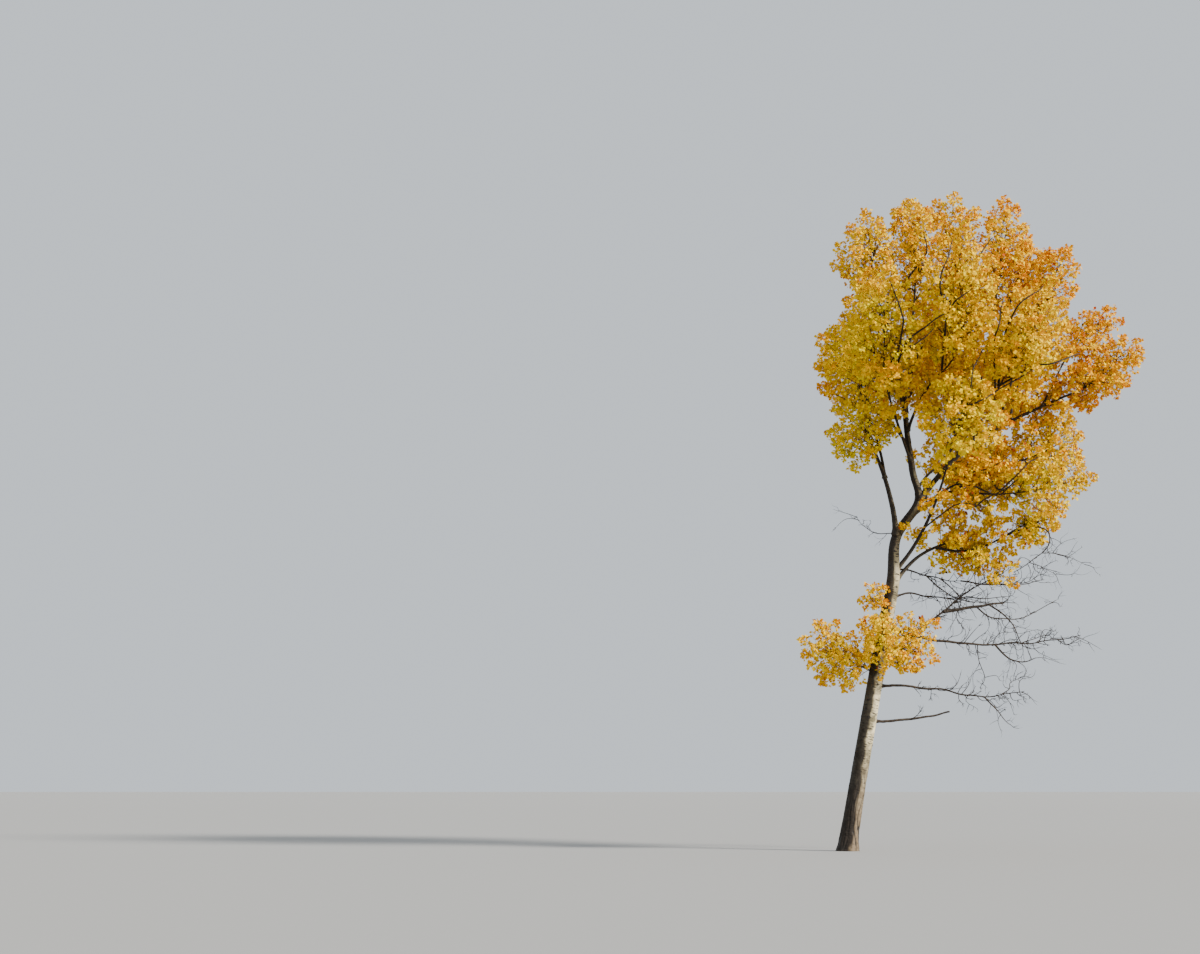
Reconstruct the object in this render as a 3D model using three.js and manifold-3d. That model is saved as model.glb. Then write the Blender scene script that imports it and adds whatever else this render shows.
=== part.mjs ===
// A poplar of the aspen kind in autumn leaf, standing on its own. Units are millimetres, +Z is up,
// and the origin lies at the middle of the flat cut under the trunk, at ground level.
// Every limb is one tapering solid. Every foliage mass is one solid: a stem, its side twigs and
// its leaf sprays, kept inside an egg-shaped space of its own.
import * as THREE from 'three';
import Module from 'manifold-3d';

const wasm = await Module();
wasm.setup();
const { Manifold, Mesh } = wasm;

const CLEARANCE = 0.3;          // air between a limb and what stands on it

// Trunk: height, sideways lean, depth and diameter at the places where they change.
const TRUNK_STATIONS = [
  { height: 0, lean: 0, depth: 0, diameter: 450 },
  { height: 1250, lean: 230, depth: 0, diameter: 422 },
  { height: 3250, lean: 625, depth: 10, diameter: 402 },
  { height: 5200, lean: 1020, depth: 20, diameter: 372 },
  { height: 6750, lean: 1345, depth: 20, diameter: 332 },
  { height: 7900, lean: 1455, depth: 10, diameter: 256 },
  { height: 8860, lean: 2060, depth: 0, diameter: 208 },
  { height: 9750, lean: 1930, depth: 20, diameter: 172 },
  { height: 11500, lean: 1810, depth: 40, diameter: 128 },
  { height: 13850, lean: 2080, depth: 0, diameter: 62 },
];
const TRUNK_SIDES = 12;
const TRUNK_RINGS_PER_STATION = 2;
const ROOT_FLARE = 0.30;        // share added to the radius at the ground
const ROOT_FLARE_HEIGHT = 330;
const ROOT_LOBES = 5;
const ROOT_LOBE_DEPTH = 0.35;

const BOUGH_SIDES = 6;
const THIN_BOUGH_SIDES = 5;
const THIN_BOUGH_GIRTH = 90;
const BOUGH_RINGS = 6;
const COLLAR_SWELL = 0.35;      // share added to the radius where a bough leaves its parent
const COLLAR_REACH = 0.05;
const SPUR_SIDES = 3;

// Boughs. Those with `height` leave the trunk at that height, those with `share` leave their
// parent that far along it. `rise` and `sway` are how far the middle stands above and beside
// the straight line to the tip; `wave` is the depth of the S-bend.
const BOUGHS = [
  { name: 'left_stem', parent: 'trunk', height: 7930, tip: [1090, -60, 9800], rise: 0, sway: -190,
    wave: 0, girth: 168, end: 96 },
  { name: 'left_bough', parent: 'left_stem', share: 0.80, tip: [930, 420, 11050], rise: 60,
    sway: 60, wave: 0, girth: 92, end: 54 },
  { name: 'top_left_bough', parent: 'trunk', height: 10950, tip: [1120, -330, 13900], rise: 260,
    sway: 60, wave: 40, girth: 92, end: 48 },
  { name: 'front_left_bough', parent: 'trunk', height: 9900, tip: [1150, -1250, 11500], rise: 180,
    sway: 80, wave: 0, girth: 88, end: 50 },
  { name: 'back_left_bough', parent: 'trunk', height: 10300, tip: [1150, 1350, 11700], rise: 180,
    sway: -80, wave: 0, girth: 86, end: 50 },
  { name: 'front_middle_bough', parent: 'trunk', height: 10700, tip: [2550, -1450, 12000],
    rise: 160, sway: 60, wave: 0, girth: 84, end: 50 },
  { name: 'back_middle_bough', parent: 'trunk', height: 11200, tip: [2500, 1500, 12300],
    rise: 160, sway: -60, wave: 0, girth: 82, end: 50 },
  { name: 'top_bough', parent: 'trunk', height: 11750, tip: [3000, 250, 14150], rise: 260,
    sway: -60, wave: 60, girth: 84, end: 48 },
  { name: 'upper_right_bough', parent: 'trunk', height: 8850, tip: [6150, -250, 11680], rise: 480,
    sway: 0, wave: 90, girth: 150, end: 56 },
  { name: 'arm_bough', parent: 'upper_right_bough', share: 0.80, tip: [6050, 260, 12600],
    rise: 60, sway: 40, wave: 0, girth: 62, end: 42 },
  { name: 'low_arm_bough', parent: 'upper_right_bough', share: 0.70, tip: [6150, 700, 11620],
    rise: 40, sway: -60, wave: 0, girth: 62, end: 42 },
  { name: 'middle_right_bough', parent: 'upper_right_bough', share: 0.60, tip: [4900, 300, 12150],
    rise: 0, sway: -60, wave: 0, girth: 68, end: 44 },
  { name: 'spire_bough', parent: 'upper_right_bough', share: 0.52, tip: [5080, -420, 13250],
    rise: 120, sway: 100, wave: 50, girth: 78, end: 46 },
  { name: 'high_right_bough', parent: 'upper_right_bough', share: 0.44, tip: [4600, 560, 13700],
    rise: 120, sway: -80, wave: 50, girth: 78, end: 46 },
  { name: 'top_right_bough', parent: 'upper_right_bough', share: 0.36, tip: [4200, -350, 14200],
    rise: 100, sway: 100, wave: 60, girth: 80, end: 46 },
  { name: 'inner_bough', parent: 'upper_right_bough', share: 0.27, tip: [2950, 60, 11400],
    rise: 60, sway: -80, wave: 0, girth: 72, end: 46 },
  { name: 'front_right_bough', parent: 'upper_right_bough', share: 0.48, tip: [3950, -1500, 11600],
    rise: 120, sway: 60, wave: 0, girth: 72, end: 46 },
  { name: 'back_right_bough', parent: 'upper_right_bough', share: 0.40, tip: [3950, 1550, 11600],
    rise: 120, sway: -60, wave: 0, girth: 72, end: 46 },
  { name: 'outer_right_bough', parent: 'trunk', height: 8480, tip: [4700, 250, 9930], rise: 110,
    sway: -90, wave: -20, girth: 118, end: 54 },
  { name: 'lower_right_bough', parent: 'outer_right_bough', share: 0.45, tip: [3650, -480, 8980],
    rise: -30, sway: 60, wave: 0, girth: 66, end: 42 },
  { name: 'back_low_bough', parent: 'trunk', height: 9150, tip: [3250, 1550, 10150], rise: 140,
    sway: -80, wave: 0, girth: 82, end: 48 },
  { name: 'front_low_bough', parent: 'trunk', height: 6980, tip: [2650, -1300, 9850], rise: -60,
    sway: -330, wave: -20, girth: 112, end: 50 },
  { name: 'low_bough', parent: 'trunk', height: 6640, tip: [3250, 420, 8020], rise: 260,
    sway: 40, wave: 60, girth: 112, end: 50 },
  { name: 'sweeping_bough', parent: 'low_bough', share: 0.62, tip: [4150, -260, 7900],
    rise: -220, sway: 60, wave: 0, girth: 70, end: 40 },
];

// Dead boughs, bare and brittle, low on the side that the tree leans to. `spurs` are the broken
// side twigs that each still carries.
const DEAD_BOUGHS = [
  { name: 'dead_bough_top', parent: 'trunk', height: 7080, tip: [3150, 330, 6830], rise: 40,
    sway: -240, wave: 60, girth: 64, end: 16, spurs: 3 },
  { name: 'dead_bough_upper', parent: 'trunk', height: 6350, tip: [3240, 180, 6400], rise: 60,
    sway: -40, wave: 60, girth: 66, end: 18, spurs: 3 },
  { name: 'dead_bough_tufted', parent: 'trunk', height: 5230, tip: [4120, -330, 6950], rise: -110,
    sway: 80, wave: -130, girth: 92, end: 20, spurs: 5 },
  { name: 'dead_bough_long', parent: 'trunk', height: 5620, tip: [6200, 380, 5420], rise: -340,
    sway: -60, wave: -30, girth: 96, end: 18, spurs: 7 },
  { name: 'dead_bough_lower', parent: 'trunk', height: 4110, tip: [4560, -180, 3960], rise: -90,
    sway: 60, wave: 90, girth: 84, end: 18, spurs: 5 },
  { name: 'dead_bough_stub', parent: 'trunk', height: 3230, tip: [2700, 60, 3460], rise: -60,
    sway: 0, wave: 0, girth: 88, end: 44, spurs: 1 },
];
const SPUR_LENGTH = 620;
const SPUR_GIRTH = 22;
const SPUR_END = 8;

// Foliage masses. Each stands on a bough's tip, on the trunk's tip or, with `height`, on the
// trunk's side. `tip` is the far end of its space, `width` the half-width of that space, and
// `tint` the autumn colour of its leaves.
const MASSES = [
  { name: 'leader_foliage', on: 'trunk', tip: [2200, 0, 16980],
    width: 1300, sprays: 19, tint: 'orange' },
  { name: 'top_left_foliage', on: 'top_left_bough', tip: [900, -250, 16500],
    width: 1150, sprays: 18, tint: 'orange' },
  { name: 'left_foliage', on: 'left_bough', tip: [420, 450, 14000],
    width: 1200, sprays: 15, tint: 'lemon' },
  { name: 'low_left_foliage', on: 'left_stem', tip: [330, -350, 11600],
    width: 1050, sprays: 14, tint: 'olive' },
  { name: 'front_left_foliage', on: 'front_left_bough', tip: [980, -2750, 14300],
    width: 1400, sprays: 18, tint: 'lemon' },
  { name: 'back_left_foliage', on: 'back_left_bough', tip: [980, 2800, 14400],
    width: 1400, sprays: 18, tint: 'lemon' },
  { name: 'front_middle_foliage', on: 'front_middle_bough', tip: [2750, -3250, 15000],
    width: 1500, sprays: 19, tint: 'gold' },
  { name: 'back_middle_foliage', on: 'back_middle_bough', tip: [2700, 3250, 15100],
    width: 1500, sprays: 19, tint: 'gold' },
  { name: 'top_foliage', on: 'top_bough', tip: [3230, 300, 17150],
    width: 1150, sprays: 19, tint: 'orange' },
  { name: 'middle_arm_foliage', on: 'upper_right_bough', tip: [7880, -350, 13050],
    width: 680, sprays: 13, tint: 'rust' },
  { name: 'upper_arm_foliage', on: 'arm_bough', tip: [7480, 300, 13980],
    width: 680, sprays: 13, tint: 'orange' },
  { name: 'lower_arm_foliage', on: 'low_arm_bough', tip: [7980, 620, 12620],
    width: 560, sprays: 11, tint: 'rust' },
  { name: 'middle_right_foliage', on: 'middle_right_bough', tip: [5720, 380, 14300],
    width: 1200, sprays: 15, tint: 'gold' },
  { name: 'spire_foliage', on: 'spire_bough', tip: [6120, -420, 15620],
    width: 700, sprays: 15, tint: 'orange' },
  { name: 'high_right_foliage', on: 'high_right_bough', tip: [5360, 650, 16080],
    width: 1150, sprays: 17, tint: 'orange' },
  { name: 'top_right_foliage', on: 'top_right_bough', tip: [4500, -450, 16750],
    width: 880, sprays: 17, tint: 'orange' },
  { name: 'inner_foliage', on: 'inner_bough', tip: [3500, -250, 14350],
    width: 1300, sprays: 15, tint: 'gold' },
  { name: 'front_right_foliage', on: 'front_right_bough', tip: [4850, -3050, 13700],
    width: 1380, sprays: 21, tint: 'gold' },
  { name: 'back_right_foliage', on: 'back_right_bough', tip: [5200, 3050, 13900],
    width: 1500, sprays: 21, tint: 'gold' },
  { name: 'right_foliage', on: 'outer_right_bough', tip: [6500, 350, 10700],
    width: 1020, sprays: 17, tint: 'gold' },
  { name: 'lower_right_foliage', on: 'lower_right_bough', tip: [6330, -650, 9300],
    width: 1000, sprays: 20, tint: 'gold' },
  { name: 'back_low_foliage', on: 'back_low_bough', tip: [5000, 3050, 10850],
    width: 1250, sprays: 18, tint: 'amber' },
  { name: 'front_low_foliage', on: 'front_low_bough', tip: [3050, -3050, 11450],
    width: 1250, sprays: 18, tint: 'amber' },
  { name: 'low_foliage', on: 'low_bough', tip: [3300, 980, 7150],
    width: 780, sprays: 9, tint: 'amber' },
  { name: 'sweeping_foliage', on: 'sweeping_bough', tip: [5780, -250, 8820],
    width: 680, sprays: 14, tint: 'amber' },
  { name: 'left_trunk_foliage', on: 'trunk', height: 4420, tip: [-1050, -250, 5300],
    width: 880, sprays: 14, tint: 'amber' },
  { name: 'right_trunk_foliage', on: 'trunk', height: 4650, tip: [2380, -350, 5600],
    width: 800, sprays: 12, tint: 'amber' },
  { name: 'front_trunk_foliage', on: 'trunk', height: 4850, tip: [800, -1500, 5500],
    width: 700, sprays: 9, tint: 'amber' },
  { name: 'trunk_tuft', on: 'trunk', height: 5950, tip: [640, -250, 6650],
    width: 420, sprays: 5, tint: 'amber' },
];
const STEM_GIRTH = 50;
const STEM_END = 38;
const STEM_PIECES = 3;
const STEM_SIDES = 4;
const TWIG_GIRTH = 26;
const TWIG_END = 22;
const SPRAYS_PER_TWIG = 3;
const GOLDEN_ANGLE = 2.39996;
const EGG_CENTRE = 0.50;        // where the space is widest, as a share of its length
const EGG_HALF_LENGTH = 0.57;   // half the length of the space, as a share of the stem's line
const SPRAY_LENGTH = 1120;
const SPRAY_BREADTH = 0.8;      // width of a spray as a share of its length
const SPRAY_THICKNESS = 40;
const SPRAY_WIDEST = 0.45;      // where a spray is widest, as a share of its length
const SPRAY_RIDGE = 0.22;       // where it is thickest
const FULL_SIZE_WIDTH = 1000;   // a mass narrower than this carries smaller sprays
const SPRAY_GAP = 65;           // space between the sprays of one mass
const WOOD_GAP = 42;            // space between a spray and the twigs that it doesn't grow from
const SPRAY_ROOM = 45;          // room between a spray and a limb
const TWIG_ROOM = 20;           // room between a twig and a limb
const SPACE_MARGIN = 0.05;      // share of the half-width kept free between two spaces
const TRIES = 18;
const SHRINK = 0.025;           // how much smaller each further try at a spray is

const TRUNK_COLOR = 0xb9b39c;
const BOUGH_COLOR = 0x857d5c;
const DEAD_WOOD_COLOR = 0x6d5a4c;
const TINT_COLORS = {
  gold: 0xf0b01c,
  orange: 0xe4911a,
  rust: 0xcc6a1c,
  lemon: 0xe6c233,
  amber: 0xd89a20,
  olive: 0xada32e,
};

const up = new THREE.Vector3(0, 0, 1);

function randomFrom(seed) {
  let state = seed >>> 0;
  return () => {
    state = (Math.imul(state, 1664525) + 1013904223) >>> 0;
    return state / 4294967296;
  };
}

function vector([x, y, z]) {
  return new THREE.Vector3(x, y, z);
}

function along(start, direction, distance) {
  return start.clone().addScaledVector(direction, distance);
}

// The trunk's middle line: a smooth curve through its stations.
function trunkSpine() {
  const points = TRUNK_STATIONS.map((s) => new THREE.Vector3(s.lean, s.depth, s.height));
  const spine = [];
  const last = TRUNK_STATIONS.length - 1;
  for (let i = 0; i <= last * TRUNK_RINGS_PER_STATION; i += 1) {
    const k = Math.min(Math.floor(i / TRUNK_RINGS_PER_STATION), last - 1);
    const u = i / TRUNK_RINGS_PER_STATION - k;
    const before = points[Math.max(k - 1, 0)];
    const after = points[Math.min(k + 2, last)];
    const from = points[k];
    const to = points[k + 1];
    const point = new THREE.Vector3(
      blend(before.x, from.x, to.x, after.x, u),
      blend(before.y, from.y, to.y, after.y, u),
      blend(before.z, from.z, to.z, after.z, u),
    );
    const here = TRUNK_STATIONS[k].diameter;
    const next = TRUNK_STATIONS[k + 1].diameter;
    spine.push({ point, radius: (here + (next - here) * u) / 2 });
  }
  return spine;
}

function blend(a, b, c, d, u) {
  return b + 0.5 * u * (c - a + u * (2 * a - 5 * b + 4 * c - d + u * (3 * (b - c) + d - a)));
}

// A bough's middle line, from the middle of its parent to its tip.
function boughSpine(bough, start) {
  const tip = vector(bough.tip);
  const chord = tip.clone().sub(start);
  const side = new THREE.Vector3().crossVectors(chord, up).normalize();
  const spine = [];
  for (let i = 0; i <= BOUGH_RINGS; i += 1) {
    const t = i / BOUGH_RINGS;
    const bow = 4 * t * (1 - t);
    const point = along(start, chord, t)
      .addScaledVector(up, bough.rise * bow + bough.wave * Math.sin(2 * Math.PI * t))
      .addScaledVector(side, bough.sway * bow);
    const taper = bough.girth + (bough.end - bough.girth) * t ** 0.8;
    const collar = 1 + COLLAR_SWELL * Math.exp(-t / COLLAR_REACH);
    spine.push({ point, radius: taper * collar / 2 });
  }
  return spine;
}

function spineAtHeight(spine, height) {
  for (let i = 1; i < spine.length; i += 1) {
    const low = spine[i - 1].point;
    const high = spine[i].point;
    if (high.z >= height) {
      return low.clone().lerp(high, (height - low.z) / (high.z - low.z));
    }
  }
  return spine[spine.length - 1].point.clone();
}

function spineAtShare(spine, share) {
  const position = share * (spine.length - 1);
  const k = Math.min(Math.floor(position), spine.length - 2);
  return spine[k].point.clone().lerp(spine[k + 1].point, position - k);
}

function endDirection(spine) {
  const last = spine.length - 1;
  return spine[last].point.clone().sub(spine[last - 1].point).normalize();
}

// A closed solid through rings of equal count. A ring at either end may be a single point.
function loft(rings) {
  const sides = Math.max(...rings.map((ring) => ring.length));
  const faces = [];
  const starts = [0];
  rings.forEach((ring, i) => starts.push(starts[i] + ring.length));
  const corner = (i, k) => starts[i] + (rings[i].length === 1 ? 0 : k % sides);
  for (let i = 1; i < rings.length; i += 1) {
    for (let k = 0; k < sides; k += 1) {
      if (rings[i - 1].length > 1) {
        faces.push(corner(i - 1, k), corner(i - 1, k + 1), corner(i, k + 1));
      }
      if (rings[i].length > 1) {
        faces.push(corner(i - 1, k), corner(i, k + 1), corner(i, k));
      }
    }
  }
  const last = rings.length - 1;
  for (let k = 1; k < sides - 1; k += 1) {
    if (rings[0].length > 1) {
      faces.push(corner(0, 0), corner(0, k + 1), corner(0, k));
    }
    if (rings[last].length > 1) {
      faces.push(corner(last, 0), corner(last, k), corner(last, k + 1));
    }
  }
  return new Manifold(new Mesh({
    numProp: 3,
    vertProperties: new Float32Array(rings.flat().flatMap((point) => point.toArray())),
    triVerts: new Uint32Array(faces),
  }));
}

// A closed tube along a spine. `shape` scales the radius by angle and height, `grow` widens it,
// and `facing` is the direction that the first ring looks in.
function tube(spine, sides, { shape = () => 1, grow = 0, facing = null } = {}) {
  const last = spine.length - 1;
  const across = new THREE.Vector3(0.31, 1, 0.17);
  return loft(spine.map(({ point, radius }, i) => {
    const direction = spine[Math.min(i + 1, last)].point.clone()
      .sub(spine[Math.max(i - 1, 0)].point).normalize();
    if (facing && i === 0) {
      direction.copy(facing);
    }
    across.addScaledVector(direction, -across.dot(direction)).normalize();
    const other = new THREE.Vector3().crossVectors(direction, across);
    const ring = [];
    for (let k = 0; k < sides; k += 1) {
      const angle = 2 * Math.PI * k / sides;
      const reach = radius * shape(angle, point.z) + grow;
      ring.push(along(point, across, Math.cos(angle) * reach)
        .addScaledVector(other, Math.sin(angle) * reach));
    }
    return ring;
  }));
}

function rootFlare(angle, height) {
  const fade = Math.exp(-height / ROOT_FLARE_HEIGHT);
  return 1 + ROOT_FLARE * fade * (1 + ROOT_LOBE_DEPTH * Math.cos(ROOT_LOBES * angle));
}

// Three-cornered rings across a twig and across the widest part of a spray.
function twigRing(at, { direction, normal }, radius) {
  const side = new THREE.Vector3().crossVectors(direction, normal);
  return [0, 1, 2].map((k) => along(at, normal, radius * Math.cos(2 * Math.PI * k / 3))
    .addScaledVector(side, radius * Math.sin(2 * Math.PI * k / 3)));
}

function sprayRings(spray) {
  const { root, direction, normal, length, width } = spray;
  const side = new THREE.Vector3().crossVectors(direction, normal);
  const middle = along(root, direction, length * SPRAY_WIDEST);
  return [
    [
      along(root, direction, length * SPRAY_RIDGE).addScaledVector(normal, SPRAY_THICKNESS),
      along(middle, side, width / 2),
      along(middle, side, -width / 2),
    ],
    [along(root, direction, length)],
  ];
}

// Points spread over a spray's outline, for testing what it comes near.
function sprayPoints({ root, direction, normal, length, width }) {
  const side = new THREE.Vector3().crossVectors(normal, direction);
  const points = [];
  for (let i = 1; i <= 6; i += 1) {
    const share = i / 6;
    const half = width / 2 * (share < SPRAY_WIDEST
      ? share / SPRAY_WIDEST : (1 - share) / (1 - SPRAY_WIDEST));
    const middle = along(root, direction, length * share);
    for (let j = -2; j <= 2; j += 1) {
      points.push(along(middle, side, half * j / 2));
    }
  }
  return points;
}

function twigPoints(start, direction, length) {
  return [0.2, 0.4, 0.6, 0.8, 1].map((share) => along(start, direction, length * share));
}

// The space of a mass is an egg laid along the line from its stem's foot to its far end.
function makeSpace(mass, foot) {
  const line = vector(mass.tip).sub(foot);
  return {
    centre: along(foot, line, EGG_CENTRE),
    axis: line.clone().normalize(),
    halfLength: line.length() * EGG_HALF_LENGTH,
    halfWidth: mass.width,
  };
}

// How deep a point lies in a space: 0 in its middle, 1 on its skin.
function depthIn(space, point) {
  const offset = point.clone().sub(space.centre);
  const lengthwise = offset.dot(space.axis);
  const crosswise = Math.sqrt(Math.max(offset.lengthSq() - lengthwise * lengthwise, 0));
  return Math.hypot(lengthwise / space.halfLength, crosswise / space.halfWidth);
}

function inOwnSpace(space, point) {
  const depth = depthIn(space, point);
  return depth <= 1 && spaces.every(
    (other) => other === space || depthIn(other, point) > depth + SPACE_MARGIN,
  );
}

// Whether all the points stay further than `room` from the straight piece of wood.
function clearOf({ from, to }, points, room) {
  const line = to.clone().sub(from);
  const lengthSq = line.lengthSq();
  return points.every((point) => {
    const share = THREE.MathUtils.clamp(point.clone().sub(from).dot(line) / lengthSq, 0, 1);
    return along(from, line, share).distanceTo(point) > room;
  });
}

function keepApart(points, others, gap) {
  return points.every((point) => others.every((other) => point.distanceTo(other) > gap));
}

function fits(space, points, room) {
  return points.every((point) => inOwnSpace(space, point))
    && limbPieces.every((piece) => clearOf(piece, points, piece.radius + room));
}

function reachInSpace(space, start, direction) {
  let reach = 0;
  while (reach < 6000 && depthIn(space, along(start, direction, reach + 40)) < 0.99) {
    reach += 40;
  }
  return reach;
}

// A direction turned away from `axis` by `lean`, at `turn` around it.
function turnedFrom(axis, lean, turn) {
  const across = new THREE.Vector3(0.31, 1, 0.17).cross(axis).normalize();
  const other = new THREE.Vector3().crossVectors(axis, across);
  return axis.clone().multiplyScalar(Math.cos(lean))
    .addScaledVector(across, Math.sin(lean) * Math.cos(turn))
    .addScaledVector(other, Math.sin(lean) * Math.sin(turn))
    .normalize();
}

// Grows one mass: a stem curving to the far end, twigs around it at the golden angle, and sprays
// at the end and along the sides of each twig. What would leave the space is left out.
function growMass(mass, space, foot, heading, seed) {
  const random = randomFrom(seed);
  const line = vector(mass.tip).sub(foot);
  const size = THREE.MathUtils.clamp(mass.width / FULL_SIZE_WIDTH, 0.5, 1);
  const sprayLength = SPRAY_LENGTH * size;
  const bend = along(foot, heading, line.length() * 0.33);
  const top = along(foot, line, 1 - 0.8 * sprayLength / line.length());
  const stemPoint = (t) => foot.clone().multiplyScalar((1 - t) ** 2)
    .addScaledVector(bend, 2 * t * (1 - t)).addScaledVector(top, t * t);
  const stem = [];
  for (let i = 0; i <= STEM_PIECES; i += 1) {
    const t = i / STEM_PIECES;
    stem.push({ point: stemPoint(t), radius: (STEM_GIRTH + (STEM_END - STEM_GIRTH) * t) / 2 });
  }
  const wood = stem.slice(1).map(({ point }, i) => ({ from: stem[i].point, to: point }));
  const sprays = [];
  const makeSpray = (root, direction, share) => {
    const normal = turnedFrom(direction, Math.PI / 2, random() * 2 * Math.PI);
    const length = sprayLength * share * (0.88 + 0.24 * random());
    const spray = { root, direction, normal, length, width: length * SPRAY_BREADTH };
    return { ...spray, points: sprayPoints(spray) };
  };
  const hasRoom = ({ points }, own) => fits(space, points, SPRAY_ROOM)
    && sprays.every((other) => keepApart(points, other.points, SPRAY_GAP * size))
    && wood.every((piece) => piece === own || clearOf(piece, points, WOOD_GAP));

  const twigs = [];
  const twigCount = Math.round(mass.sprays / SPRAYS_PER_TWIG);
  for (let k = 0; k < twigCount; k += 1) {
    const t = 0.1 + 0.82 * (k + 0.5) / twigCount;
    const start = stemPoint(t);
    for (let attempt = 0; attempt < TRIES; attempt += 1) {
      const lean = 1.2 - 0.5 * t + 0.3 * (random() - 0.5);
      const turn = k * GOLDEN_ANGLE + seed + 0.25 * attempt * (random() - 0.5);
      const direction = turnedFrom(space.axis, lean, turn).addScaledVector(up, 0.12).normalize();
      const reach = reachInSpace(space, start, direction) * (1 - 0.06 * attempt);
      const length = Math.max(reach - sprayLength, 0.25 * sprayLength);
      const end = along(start, direction, length);
      const spray = makeSpray(end, direction, 1 - SHRINK * attempt);
      if (fits(space, twigPoints(start, direction, length), TWIG_ROOM)
        && hasRoom(spray, null)) {
        const twig = { from: start, to: end, direction, length, spray };
        twigs.push(twig);
        wood.push(twig);
        sprays.push(spray);
        break;
      }
    }
  }
  const addSpray = (root, axis, lean, share, own) => {
    for (let attempt = 0; attempt < TRIES; attempt += 1) {
      const tilt = lean * (0.7 + 0.6 * random());
      const direction = turnedFrom(axis, tilt, random() * 2 * Math.PI);
      const spray = makeSpray(root, direction, share * (1 - SHRINK * attempt));
      if (hasRoom(spray, own)) {
        sprays.push(spray);
        break;
      }
    }
  };
  addSpray(stemPoint(0.98), space.axis, 0.1, 1, wood[STEM_PIECES - 1]);
  for (const twig of twigs) {
    for (let j = 1; j < SPRAYS_PER_TWIG; j += 1) {
      const distance = twig.length * (j / SPRAYS_PER_TWIG + 0.12);
      addSpray(along(twig.from, twig.direction, distance), twig.direction, 0.9, 0.92, twig);
    }
  }
  return { stem, heading, twigs, sprays };
}

// A twig runs on into the spray at its end; the other sprays are fused on by short stalks.
function massSolid({ stem, heading, twigs, sprays }) {
  const parts = [tube(stem, STEM_SIDES, { facing: heading })];
  for (const { from, to, spray } of twigs) {
    parts.push(loft([
      twigRing(from, spray, TWIG_GIRTH / 2),
      twigRing(to, spray, TWIG_END / 2),
      ...sprayRings(spray),
    ]));
  }
  const ends = twigs.map(({ spray }) => spray);
  for (const spray of sprays.filter((each) => !ends.includes(each))) {
    parts.push(loft([[spray.root], ...sprayRings(spray)]));
  }
  return Manifold.union(parts);
}

// The largest closed piece alone: loose scraps are dropped and sealed hollows are filled.
function mainBody(solid) {
  return solid.decompose().reduce((best, piece) => (piece.volume() > best.volume() ? piece : best));
}

const group = new THREE.Group();

function addNode(name, solid, color) {
  const { vertProperties, triVerts } = mainBody(solid).getMesh();
  const geometry = new THREE.BufferGeometry();
  geometry.setAttribute('position', new THREE.BufferAttribute(vertProperties, 3));
  geometry.setIndex(new THREE.BufferAttribute(triVerts, 1));
  geometry.computeVertexNormals();
  const material = new THREE.MeshStandardMaterial({ color, roughness: 0.85, flatShading: true });
  const mesh = new THREE.Mesh(geometry, material);
  mesh.name = name;
  group.add(mesh);
}

// Trunk.
const trunk = trunkSpine();
const trunkShape = { shape: rootFlare, facing: up };
addNode('trunk', tube(trunk, TRUNK_SIDES, trunkShape), TRUNK_COLOR);

// Boughs, live and dead. Each is cut back to stand just clear of its parent.
const spines = { trunk };
const cutters = { trunk: tube(trunk, TRUNK_SIDES, { ...trunkShape, grow: CLEARANCE }) };
for (const bough of [...BOUGHS, ...DEAD_BOUGHS]) {
  const parent = spines[bough.parent];
  const start = 'height' in bough
    ? spineAtHeight(parent, bough.height) : spineAtShare(parent, bough.share);
  const spine = boughSpine(bough, start);
  spines[bough.name] = spine;
  const sides = bough.girth > THIN_BOUGH_GIRTH ? BOUGH_SIDES : THIN_BOUGH_SIDES;
  cutters[bough.name] = tube(spine, sides, { grow: CLEARANCE });
  const parts = [tube(spine, sides)];
  const random = randomFrom(bough.tip[0]);
  for (let k = 0; k < (bough.spurs ?? 0); k += 1) {
    const share = 0.35 + 0.6 * (k + random()) / bough.spurs;
    const point = spineAtShare(spine, share);
    const lean = 0.6 + 0.5 * random();
    const direction = turnedFrom(endDirection(spine), lean, random() * 2 * Math.PI);
    const length = SPUR_LENGTH * (0.5 + 0.5 * random());
    parts.push(tube([
      { point, radius: SPUR_GIRTH / 2 },
      { point: along(point, direction, length), radius: SPUR_END / 2 },
    ], SPUR_SIDES));
  }
  const color = bough.spurs ? DEAD_WOOD_COLOR : BOUGH_COLOR;
  addNode(bough.name, Manifold.union(parts).subtract(cutters[bough.parent]), color);
}

const limbPieces = [];
for (const spine of Object.values(spines)) {
  for (let i = 1; i < spine.length; i += 1) {
    const from = spine[i - 1];
    const to = spine[i];
    limbPieces.push({ from: from.point, to: to.point, radius: Math.max(from.radius, to.radius) });
  }
}

// Foliage. A mass on a tip starts just clear of it; one on the trunk's side is cut to stand clear.
const feet = MASSES.map((mass) => {
  const spine = spines[mass.on];
  if ('height' in mass) {
    const foot = spineAtHeight(spine, mass.height);
    return { foot, heading: vector(mass.tip).sub(foot).normalize() };
  }
  const heading = endDirection(spine);
  return { foot: along(spine[spine.length - 1].point, heading, CLEARANCE), heading };
});
const spaces = MASSES.map((mass, i) => makeSpace(mass, feet[i].foot));
MASSES.forEach((mass, i) => {
  const { foot, heading } = feet[i];
  const grown = growMass(mass, spaces[i], foot, heading, i + 1);
  const solid = massSolid(grown);
  const cut = 'height' in mass ? solid.subtract(cutters.trunk) : solid;
  addNode(mass.name, cut, TINT_COLORS[mass.tint]);
});

export default group;
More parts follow.
